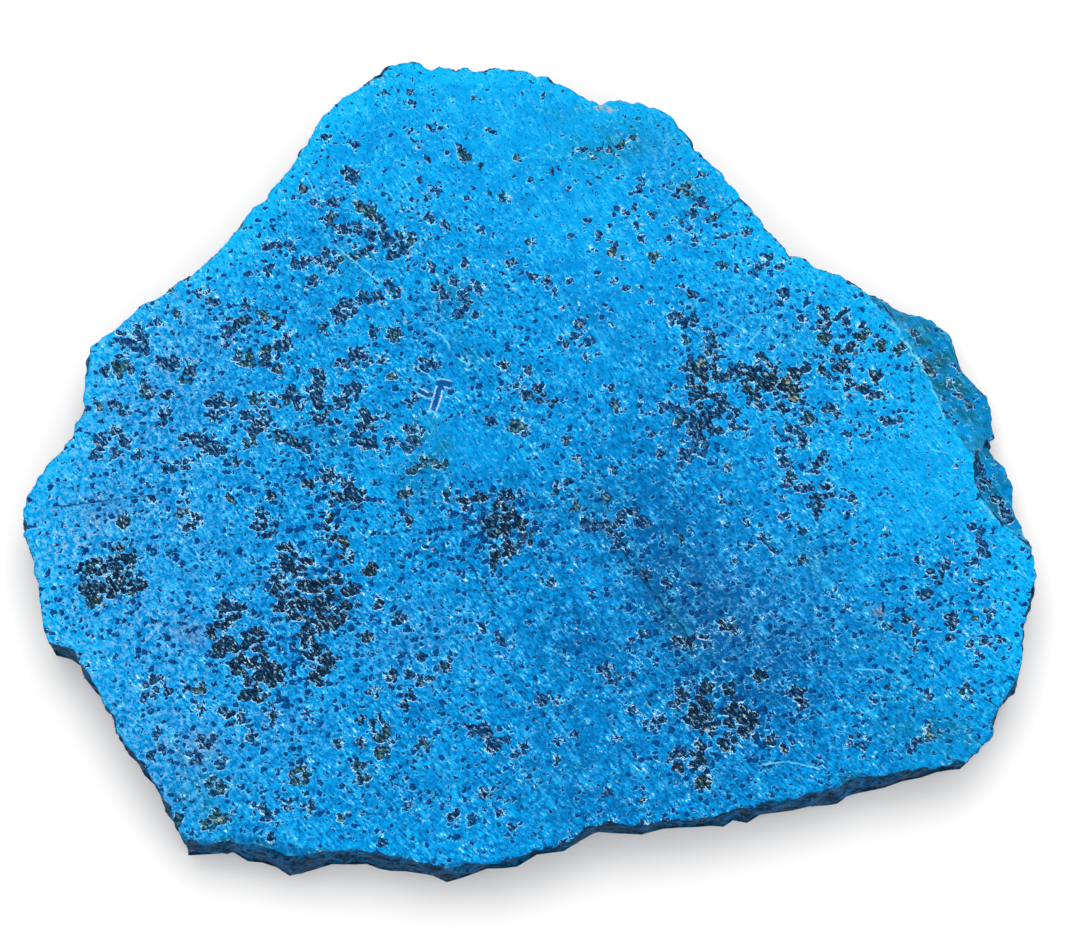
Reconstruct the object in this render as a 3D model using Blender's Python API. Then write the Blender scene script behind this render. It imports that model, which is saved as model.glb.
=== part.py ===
"""A sawn slab of natural turquoise, built as one solid piece of stone.

Both large faces were cut flat by a saw. The side between them is the broken and
weathered skin of the nodule, and at the right a band of that skin slopes up to meet
the sawn face in a ridge. Shallow pits mark where dark matrix has plucked out.

The slab lies on its flat underside. Units are metres, +Z points out of the sawn top
face, +X runs along the longest extent, and the origin is under the middle of the slab.
"""
import math
from typing import NamedTuple

import bmesh
import bpy
from mathutils import Vector, noise
from mathutils.geometry import delaunay_2d_cdt

MM = 0.001

# Driving sizes, in millimetres.
THICKNESS = 5.5
STATION_GAP = 1.35
BROW_HEIGHT = 2.3
FOOT_INSET = 0.25

# Relief of the sawn faces and the broken side, in millimetres.
SAW_WAVINESS = 0.03
SAW_WAVE_LENGTH = 9.0
SIDE_ROUGHNESS = 0.5
SIDE_LUMP_LENGTH = 2.6
SLOPE_ROUGHNESS = 0.2

# The lumps of the relief: smaller lumps are added to larger ones, LUMP_LAYERS deep, each
# LUMP_RATIO times finer than the one before and weaker by LUMP_FADE. A salt is the place
# in the noise that one use of it starts from, so that no two uses are alike.
LUMP_FADE = 0.9
LUMP_RATIO = 2.0
LUMP_LAYERS = 3
WAVE_SALT = 3.1
SLOPE_SALT = 5.3
WALL_SALT = 7.7
FOOT_SALT = 9.9

# How the wall's lumps grow on the way down from the edge: the weight of a swell that is
# highest midway and gone at the brow, and the share of the lumps that is left at the brow.
MIDWAY_SWELL = 2.6
BROW_SWELL = 0.5

# Levels of the rings below the brow, as shares of the way down to the underside.
FOOT_LEVELS = (0.5, 1.0)

# Spacing of the points inside the top and bottom faces, in millimetres, and how far they
# keep from the edge and from the pits, as shares of that spacing.
TOP_SPACING = 1.8
BOTTOM_SPACING = 7.0
EDGE_CLEARANCE = 0.55
PIT_CLEARANCE = 0.4

# The flat fill of a face keeps only what lies inside its outline, and joins points that
# are closer than this, in millimetres.
FILL_INSIDE = 1
JOIN_DISTANCE = 1e-4

# A side profile lists, for each ring below the edge of the sawn face, how far it is down
# and out on the way to the brow, which is the widest line of the side.
BROKEN_WALL = ((0.10, 0.40), (0.38, 0.72), (0.70, 0.95), (1.0, 1.0))
SKIN_SLOPE = ((0.20, 0.22), (0.48, 0.50), (0.78, 0.80), (1.0, 1.0))
SKIN_LEDGE = ((0.62, 0.16), (0.80, 0.45), (0.90, 0.78), (1.0, 1.0))

# The edge of the sawn top face, clockwise seen from above. Each point is x, y and the
# flare, which is how far the side swells out past that edge, in millimetres.
LEFT_EDGE = (
    (-42.15, -4.7, 0.15), (-42.4, -3.7, 0.1), (-42.3, -3.0, 0.1), (-41.5, -1.0, 0.1), (-40.8, 0.0, 0.1),
    (-39.2, 1.8, 0.1), (-38.2, 3.9, 0.1), (-37.7, 5.3, 0.1), (-37.5, 6.8, 0.15), (-37.55, 8.3, 0.2),
    (-37.35, 9.8, 0.2), (-37.0, 10.8, 0.2), (-36.4, 11.5, 0.2), (-35.3, 12.2, 0.2),
)
UPPER_LEFT_EDGE = (
    (-32.7, 14.6, 0.2), (-31.0, 15.4, 0.3), (-30.5, 15.95, 0.35), (-28.4, 17.4, 0.3), (-26.4, 19.4, 0.2),
    (-24.4, 21.8, 0.2), (-23.6, 23.15, 0.2), (-22.95, 23.35, 0.25), (-22.1, 24.4, 0.2), (-21.7, 25.2, 0.2),
    (-20.3, 26.8, 0.25), (-18.4, 30.4, 0.25), (-16.0, 33.1, 0.25), (-15.2, 33.5, 0.3), (-14.5, 34.1, 0.4),
    (-13.7, 34.4, 0.4), (-12.0, 35.95, 0.3),
)
TOP_EDGE = (
    (-11.2, 36.15, 0.2), (-10.3, 36.35, 0.15), (-9.6, 36.2, 0.1), (-8.7, 35.75, 0.2), (-8.0, 35.9, 0.2),
    (-6.75, 35.75, 0.2), (-6.4, 35.4, 0.3), (-6.0, 35.7, 0.2), (-5.3, 35.7, 0.2), (-4.6, 35.4, 0.2),
    (-4.0, 35.35, 0.2), (-3.4, 35.65, 0.2), (-2.7, 35.75, 0.2), (0.1, 35.4, 0.2), (0.7, 35.0, 0.25),
    (1.5, 34.95, 0.2), (3.4, 33.9, 0.2), (4.5, 33.1, 0.2), (6.1, 32.4, 0.4), (6.7, 32.7, 0.3),
    (7.8, 32.85, 0.25), (8.5, 32.5, 0.3), (9.3, 32.55, 0.2), (10.6, 32.15, 0.2), (12.2, 31.4, 0.2),
)
UPPER_RIGHT_EDGE = (
    (13.5, 29.9, 0.2), (14.6, 27.9, 0.2), (16.1, 26.6, 0.2), (16.7, 25.9, 0.2), (19.7, 21.95, 0.2),
    (22.2, 19.0, 0.2), (23.3, 18.65, 0.25), (24.1, 17.95, 0.25), (26.4, 17.1, 0.25), (27.6, 16.25, 0.35),
)
RIGHT_EDGE = (
    (42.15, -7.7, 0.1), (42.25, -8.9, 0.15), (41.8, -11.5, 0.2), (40.95, -14.7, 0.25), (41.15, -15.4, 0.15),
    (40.9, -16.6, 0.15), (40.1, -18.6, 0.2), (39.4, -19.2, 0.3), (39.1, -20.1, 0.2), (38.65, -20.7, 0.2),
    (38.5, -22.0, 0.0), (38.0, -23.0, -0.2), (37.2, -23.75, -0.4), (36.8, -24.5, -0.5),
)
LOWER_RIGHT_EDGE = (
    (36.2, -25.0, -0.4), (34.2, -25.35, -0.5), (31.2, -25.6, 0.1), (28.4, -26.1, 0.35), (27.4, -25.9, 0.8),
    (26.3, -25.9, 1.1), (25.8, -26.2, 1.2), (25.4, -26.75, 0.9), (24.6, -27.2, 0.6), (23.3, -27.45, 0.4),
    (22.0, -27.9, 0.2), (19.3, -28.4, 0.1), (18.1, -28.8, 0.3), (17.0, -28.75, 0.1), (16.2, -29.2, 0.25),
    (15.3, -29.45, 0.0), (11.2, -29.95, -0.2), (9.4, -30.1, -0.1), (8.2, -30.25, -0.3), (7.0, -30.1, -0.2),
)
LOWER_EDGE = (
    (5.7, -30.15, -0.3), (3.0, -31.65, -0.2), (0.9, -32.25, -0.4), (-0.9, -33.0, -0.4), (-2.0, -33.3, -0.4),
    (-3.5, -33.45, -0.2), (-5.7, -33.1, 0.9), (-6.8, -33.35, 0.8), (-8.0, -33.5, 0.25), (-8.9, -33.35, 0.2),
    (-10.2, -32.55, 0.6), (-11.4, -32.6, 0.5), (-12.4, -32.35, 0.5), (-14.6, -32.25, 0.45),
    (-16.4, -32.15, 0.55), (-17.6, -32.1, 1.05), (-19.7, -31.95, 1.45), (-22.0, -31.3, 1.2),
    (-23.3, -31.25, 1.05), (-24.6, -31.0, 0.7), (-25.7, -31.3, 0.65), (-27.0, -31.4, 0.7), (-28.0, -31.3, 0.6),
)
LOWER_LEFT_EDGE = (
    (-28.6, -30.8, 0.05), (-30.3, -27.6, 0.0), (-31.4, -25.8, 0.05), (-32.7, -24.0, 0.1), (-33.5, -23.35, 0.1),
    (-34.2, -22.5, 0.1), (-34.6, -20.9, 0.15), (-35.2, -20.1, 0.1), (-35.4, -19.3, 0.15), (-36.4, -17.8, 0.2),
    (-37.1, -16.5, 0.5), (-37.6, -15.6, 0.45), (-38.5, -15.2, 0.2), (-39.9, -14.85, 0.0),
    (-40.3, -14.1, 0.1), (-40.95, -10.1, 0.1), (-41.3, -9.2, 0.1), (-41.4, -7.8, 0.1), (-41.7, -6.7, 0.05),
    (-42.2, -5.9, 0.0), (-42.3, -5.3, 0.05),
)

# At the right the skin slopes down from the ridge that ends the sawn face. Each entry is
# the ridge point, the brow point below it and the height of the brow, in millimetres.
SKIN_ABOVE_THE_LEDGE = (
    ((28.6, 15.5), (28.95, 15.85), 4.6), ((29.3, 14.6), (30.2, 15.55), 4.0), ((30.3, 13.6), (31.65, 14.95), 3.6),
    ((31.2, 12.5), (33.0, 14.5), 3.2), ((31.9, 11.3), (34.4, 14.25), 3.0), ((32.5, 10.2), (35.5, 13.2), 2.8),
    ((33.2, 9.3), (36.15, 11.8), 2.8), ((33.7, 8.4), (36.65, 10.5), 2.8), ((34.1, 7.4), (37.35, 9.2), 2.8),
    ((34.4, 6.2), (38.2, 8.15), 2.6), ((34.8, 5.2), (39.1, 7.3), 2.6), ((35.4, 4.1), (39.5, 6.2), 2.4),
    ((36.1, 3.1), (39.2, 4.9), 2.6), ((36.6, 2.4), (39.65, 3.6), 2.4), ((37.1, 1.6), (39.15, 2.8), 2.6),
)
SKIN_ALONG_THE_LEDGE = (
    ((37.5, 0.7), (39.9, 1.8), 2.6), ((37.3, 0.0), (40.75, 0.9), 2.6), ((37.4, -0.9), (40.95, -0.2), 2.5),
    ((37.7, -1.8), (41.05, -1.5), 2.5), ((38.0, -2.7), (41.25, -2.9), 2.6), ((38.7, -3.6), (41.75, -4.1), 2.8),
    ((39.5, -4.5), (41.95, -4.9), 3.2), ((40.3, -5.2), (42.1, -5.6), 3.6), ((41.2, -6.0), (42.25, -6.3), 4.2),
)

# Pits in the sawn face where matrix has plucked out: x, y, radius and depth in millimetres.
PITS = (
    (-34.0, -7.5, 1.3, 0.34), (-34.6, -9.8, 1.5, 0.36), (-24.3, -15.1, 1.3, 0.3), (-17.2, -16.8, 1.1, 0.34),
    (-17.6, -11.0, 1.5, 0.38), (-21.2, -17.7, 0.9, 0.3), (-12.0, -23.0, 0.9, 0.34), (-18.9, -26.0, 1.0, 0.3),
    (-25.3, -29.2, 1.0, 0.28), (-9.9, 2.8, 1.3, 0.4), (-15.2, 6.7, 1.1, 0.34), (-17.5, 5.6, 1.0, 0.34),
    (-13.9, 3.5, 0.9, 0.3), (-14.7, 9.9, 0.9, 0.3), (-23.9, 9.8, 0.9, 0.3), (-22.0, 10.0, 1.0, 0.3),
    (-27.2, 2.2, 1.3, 0.3), (-34.5, 9.0, 0.9, 0.3), (-5.6, 27.8, 1.0, 0.32), (-15.1, 25.8, 0.9, 0.3),
    (-11.5, 20.2, 1.0, 0.3), (12.6, 13.3, 1.3, 0.34), (14.4, 8.2, 1.6, 0.45), (15.4, 10.9, 0.8, 0.38),
    (18.9, 7.9, 1.4, 0.42), (21.8, 7.5, 1.1, 0.34), (14.1, 4.4, 1.1, 0.34), (14.2, 2.3, 1.0, 0.34),
    (4.2, 12.7, 0.8, 0.3), (14.4, -21.0, 1.3, 0.36), (17.6, -21.5, 1.0, 0.3), (-3.2, -22.8, 1.0, 0.3),
)
PIT_RING_POINTS = 7
PIT_FLOOR_SHARE = 0.55

STONE_COLOUR = (0.004, 0.33, 0.82, 1.0)
STONE_ROUGHNESS = 0.34


class Station(NamedTuple):
    """One place along the side: the edge above, the brow below it, and the way between."""

    edge: Vector
    brow: Vector
    brow_height: float
    profile: tuple


def outward(before: Vector, after: Vector) -> Vector:
    """Direction out of the stone where the outline runs clockwise from before to after."""
    along = (after - before).normalized()
    return Vector((-along.y, along.x))


def broken_stations(points: tuple) -> list[tuple]:
    """Outline points as edge point, flare, brow height and profile; the brow comes later."""
    return [(Vector((x, y)), flare, BROW_HEIGHT, BROKEN_WALL) for x, y, flare in points]


def skin_stations(points: tuple, profile: tuple) -> list[tuple]:
    """Ridge points as edge point, brow point, brow height and profile."""
    return [(Vector(ridge), Vector(brow), height, profile) for ridge, brow, height in points]


def hand_stations() -> list[Station]:
    """All the stations chosen by hand, once round the slab."""
    drafts = broken_stations(LEFT_EDGE + UPPER_LEFT_EDGE + TOP_EDGE + UPPER_RIGHT_EDGE)
    drafts += skin_stations(SKIN_ABOVE_THE_LEDGE, SKIN_SLOPE)
    drafts += skin_stations(SKIN_ALONG_THE_LEDGE, SKIN_LEDGE)
    drafts += broken_stations(RIGHT_EDGE + LOWER_RIGHT_EDGE + LOWER_EDGE + LOWER_LEFT_EDGE)
    stations = []
    for index, (edge, out, height, profile) in enumerate(drafts):
        if isinstance(out, float):
            before = drafts[index - 2][0]
            after = drafts[(index + 2) % len(drafts)][0]
            out = edge + outward(before, after) * out
        stations.append(Station(edge, out, height, profile))
    return stations


def along_curve(a: Vector, b: Vector, c: Vector, d: Vector, share: float) -> Vector:
    """Point between b and c on the smooth curve through a, b, c and d."""
    bend = 2 * a - 5 * b + 4 * c - d
    twist = 3 * b - a - 3 * c + d
    return 0.5 * (2 * b + (c - a) * share + bend * share ** 2 + twist * share ** 3)


def spaced_stations(stations: list[Station]) -> list[Station]:
    """The same outline with long gaps split along a smooth curve."""
    count = len(stations)
    spaced = []
    for index, here in enumerate(stations):
        before, after = stations[index - 1], stations[(index + 1) % count]
        beyond = stations[(index + 2) % count]
        parts = max(1, round((after.edge - here.edge).length / STATION_GAP))
        for part in range(parts):
            share = part / parts
            edge = along_curve(before.edge, here.edge, after.edge, beyond.edge, share)
            brow = along_curve(before.brow, here.brow, after.brow, beyond.brow, share)
            height = here.brow_height + (after.brow_height - here.brow_height) * share
            spaced.append(Station(edge, brow, height, here.profile))
    return spaced


def lumpiness(point: Vector, size: float, salt: float) -> float:
    """Repeatable lumps between about -1 and 1, one lump every size millimetres."""
    start = Vector((salt, -salt, salt))
    return noise.fractal(point / size + start, LUMP_FADE, LUMP_RATIO, LUMP_LAYERS)


def pit_depth(x: float, y: float) -> float:
    """How far the pits lower the sawn face at a point."""
    depth = 0.0
    for pit_x, pit_y, radius, deepest in PITS:
        reach = (Vector((x, y)) - Vector((pit_x, pit_y))).length / radius
        if reach < 1.0:
            depth = max(depth, deepest * min(1.0, (1.0 - reach) / (1.0 - PIT_FLOOR_SHARE)))
    return depth


def sawn_height(x: float, y: float) -> float:
    """Height of the sawn top face: nearly flat, with the faint waves a blade leaves."""
    wave = lumpiness(Vector((x, y, 0.0)), SAW_WAVE_LENGTH, WAVE_SALT)
    return THICKNESS + SAW_WAVINESS * wave - pit_depth(x, y)


def swell(down: float) -> float:
    """Share of the side's lumps at a level: none at the edge, most midway, less at the brow."""
    return MIDWAY_SWELL * down * (1.0 - down) + BROW_SWELL * down


def side_rings(stations: list[Station]) -> list[list[Vector]]:
    """Closed rings of points from the edge of the sawn face down to the underside."""
    edge_ring = [Vector((s.edge.x, s.edge.y, sawn_height(*s.edge))) for s in stations]
    rings = [edge_ring]
    count = len(stations)
    for level in range(len(BROKEN_WALL)):
        ring = []
        for index, station in enumerate(stations):
            down, out = station.profile[level]
            flat = station.edge.lerp(station.brow, out)
            height = THICKNESS + (station.brow_height - THICKNESS) * down
            point = Vector((flat.x, flat.y, height))
            normal = outward(stations[index - 1].edge, stations[(index + 1) % count].edge).to_3d()
            point += normal * SIDE_ROUGHNESS * swell(down) * lumpiness(point, SIDE_LUMP_LENGTH, WALL_SALT)
            if station.profile is not BROKEN_WALL and level < len(BROKEN_WALL) - 1:
                point.z += SLOPE_ROUGHNESS * lumpiness(point, SIDE_LUMP_LENGTH, SLOPE_SALT)
            ring.append(point)
        rings.append(ring)
    brow_ring = rings[-1]
    for share in FOOT_LEVELS:
        ring = []
        for index, brow in enumerate(brow_ring):
            inward = -outward(stations[index - 1].edge, stations[(index + 1) % count].edge).to_3d()
            inset = FOOT_INSET * share * (1.0 + lumpiness(brow, SIDE_LUMP_LENGTH, FOOT_SALT))
            ring.append(Vector((brow.x, brow.y, brow.z * (1.0 - share))) + inward * inset)
        rings.append(ring)
    return rings


def inside_points(ring: list[Vector], spacing: float, keep_out: tuple) -> list[Vector]:
    """Points of an even triangular pattern inside a ring, clear of its edge and of the pits."""
    low_x, high_x = min(p.x for p in ring), max(p.x for p in ring)
    low_y, high_y = min(p.y for p in ring), max(p.y for p in ring)
    row_step = spacing * 3 ** 0.5 / 2
    points = []
    for row in range(int((high_y - low_y) / row_step) + 1):
        y = low_y + (row + 0.5) * row_step
        crossings = []
        for a, b in zip(ring, ring[1:] + ring[:1]):
            if (a.y > y) != (b.y > y):
                crossings.append(a.x + (b.x - a.x) * (y - a.y) / (b.y - a.y))
        crossings.sort()
        for column in range(int((high_x - low_x) / spacing) + 1):
            x = low_x + (column + 0.5 * (row % 2)) * spacing
            inside = sum(crossing < x for crossing in crossings) % 2 == 1
            here = Vector((x, y))
            far_from_edge = all((here - p.to_2d()).length > EDGE_CLEARANCE * spacing for p in ring)
            clear = PIT_CLEARANCE * spacing
            off_pits = all((here - Vector((x0, y0))).length > radius + clear for x0, y0, radius, _ in keep_out)
            if inside and far_from_edge and off_pits:
                points.append(here)
    return points


def pit_points() -> list[Vector]:
    """A middle point, a floor ring and a lip ring for each pit."""
    points = []
    for x, y, radius, _ in PITS:
        points.append(Vector((x, y)))
        for reach in (PIT_FLOOR_SHARE, 1.0):
            for step in range(PIT_RING_POINTS):
                angle = math.tau * step / PIT_RING_POINTS
                spoke = Vector((math.cos(angle), math.sin(angle))) * radius * reach
                points.append(Vector((x, y)) + spoke)
    return points


def add_cap(mesh: bmesh.types.BMesh, loop: list, inner: list[Vector], height) -> None:
    """Fill a closed loop of vertices with triangles that also use the inner points."""
    outline = [vert.co.to_2d() for vert in loop]
    border = [list(range(len(outline)))]
    flat, _, faces, origins, _, _ = delaunay_2d_cdt(outline + inner, [], border, FILL_INSIDE, JOIN_DISTANCE)
    verts = []
    for point, origin in zip(flat, origins):
        on_loop = [index for index in origin if index < len(loop)]
        if on_loop:
            verts.append(loop[on_loop[0]])
        else:
            verts.append(mesh.verts.new((point.x, point.y, height(point.x, point.y))))
    for face in faces:
        mesh.faces.new([verts[index] for index in face])


def slab_mesh() -> bpy.types.Mesh:
    """The whole slab as one closed mesh of triangles, centred over its origin."""
    rings = side_rings(spaced_stations(hand_stations()))
    mesh = bmesh.new()
    loops = [[mesh.verts.new(point) for point in ring] for ring in rings]
    for upper, lower in zip(loops, loops[1:]):
        for index in range(len(upper)):
            following = (index + 1) % len(upper)
            mesh.faces.new((upper[index], upper[following], lower[following], lower[index]))
    add_cap(mesh, loops[0], inside_points(rings[0], TOP_SPACING, PITS) + pit_points(), sawn_height)
    add_cap(mesh, loops[-1], inside_points(rings[-1], BOTTOM_SPACING, ()), lambda x, y: 0.0)
    bmesh.ops.triangulate(mesh, faces=mesh.faces[:], quad_method="SHORT_EDGE")
    bmesh.ops.recalc_face_normals(mesh, faces=mesh.faces[:])
    middle_x = (min(v.co.x for v in mesh.verts) + max(v.co.x for v in mesh.verts)) / 2
    middle_y = (min(v.co.y for v in mesh.verts) + max(v.co.y for v in mesh.verts)) / 2
    bmesh.ops.translate(mesh, verts=mesh.verts[:], vec=(-middle_x, -middle_y, 0.0))
    bmesh.ops.scale(mesh, verts=mesh.verts[:], vec=(MM, MM, MM))
    data = bpy.data.meshes.new("turquoise_slab")
    mesh.to_mesh(data)
    mesh.free()
    return data


def turquoise() -> bpy.types.Material:
    """Plain azure turquoise with a soft polish."""
    material = bpy.data.materials.new("turquoise")
    material.use_nodes = True
    shader = material.node_tree.nodes["Principled BSDF"]
    shader.inputs["Base Color"].default_value = STONE_COLOUR
    shader.inputs["Roughness"].default_value = STONE_ROUGHNESS
    shader.inputs["Metallic"].default_value = 0.0
    return material


def main() -> None:
    """Clear the scene and add the slab."""
    for thing in list(bpy.data.objects):
        bpy.data.objects.remove(thing, do_unlink=True)
    slab = bpy.data.objects.new("turquoise_slab", slab_mesh())
    slab.data.materials.append(turquoise())
    bpy.context.scene.collection.objects.link(slab)


main()
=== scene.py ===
"""The looks of a sawn slab of turquoise: its surface, its finishes, and a plain studio.

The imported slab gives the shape. A finer copy of it gets a rough broken side, a ragged edge
and plucked pits, and carries soft fields that say where the stone is darker, greener or
more thickly sown with dark matrix. The finishes read those fields and draw the grains.

Markings and zones are measured in millimetres on the sawn face. Everything else is in
metres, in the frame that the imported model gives.
"""

import logging
import math
from dataclasses import dataclass, field
from enum import Enum

import bmesh
import bpy
import numpy as np
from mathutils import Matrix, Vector, kdtree, noise

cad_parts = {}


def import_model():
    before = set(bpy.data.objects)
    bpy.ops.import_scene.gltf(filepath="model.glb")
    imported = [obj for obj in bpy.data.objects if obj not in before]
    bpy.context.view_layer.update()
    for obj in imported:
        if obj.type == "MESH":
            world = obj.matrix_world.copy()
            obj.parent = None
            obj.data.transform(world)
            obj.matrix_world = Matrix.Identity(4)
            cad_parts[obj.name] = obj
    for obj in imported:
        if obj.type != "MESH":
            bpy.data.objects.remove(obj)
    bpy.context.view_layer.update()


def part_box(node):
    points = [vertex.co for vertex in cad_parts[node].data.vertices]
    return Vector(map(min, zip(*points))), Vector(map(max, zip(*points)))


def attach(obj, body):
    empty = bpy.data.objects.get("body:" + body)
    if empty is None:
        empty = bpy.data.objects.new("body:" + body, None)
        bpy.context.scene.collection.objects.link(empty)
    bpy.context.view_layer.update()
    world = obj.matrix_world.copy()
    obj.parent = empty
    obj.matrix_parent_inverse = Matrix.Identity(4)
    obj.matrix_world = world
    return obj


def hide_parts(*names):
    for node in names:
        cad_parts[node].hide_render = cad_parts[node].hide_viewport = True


MM = 0.001
NODE_NAME = "turquoise_slab"

# The slab's origin, in the millimetres that the markings are measured in.
MARKING_ORIGIN = (-0.105, 1.139)

# How much darker the stone is than the photograph, which is bright enough to bleach the paper.
STONE_SHADE = 0.87

# The standard curve that turns a screen colour into linear light.
BYTE_LEVELS = 255
CURVE_START = 0.04045
CURVE_SLOPE = 12.92
CURVE_OFFSET = 0.055
CURVE_POWER = 2.4

# The middle of every cloudy noise, which runs from 0 to 1.
NOISE_MIDDLE = 0.5

LOG = logging.getLogger("turquoise")

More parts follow.
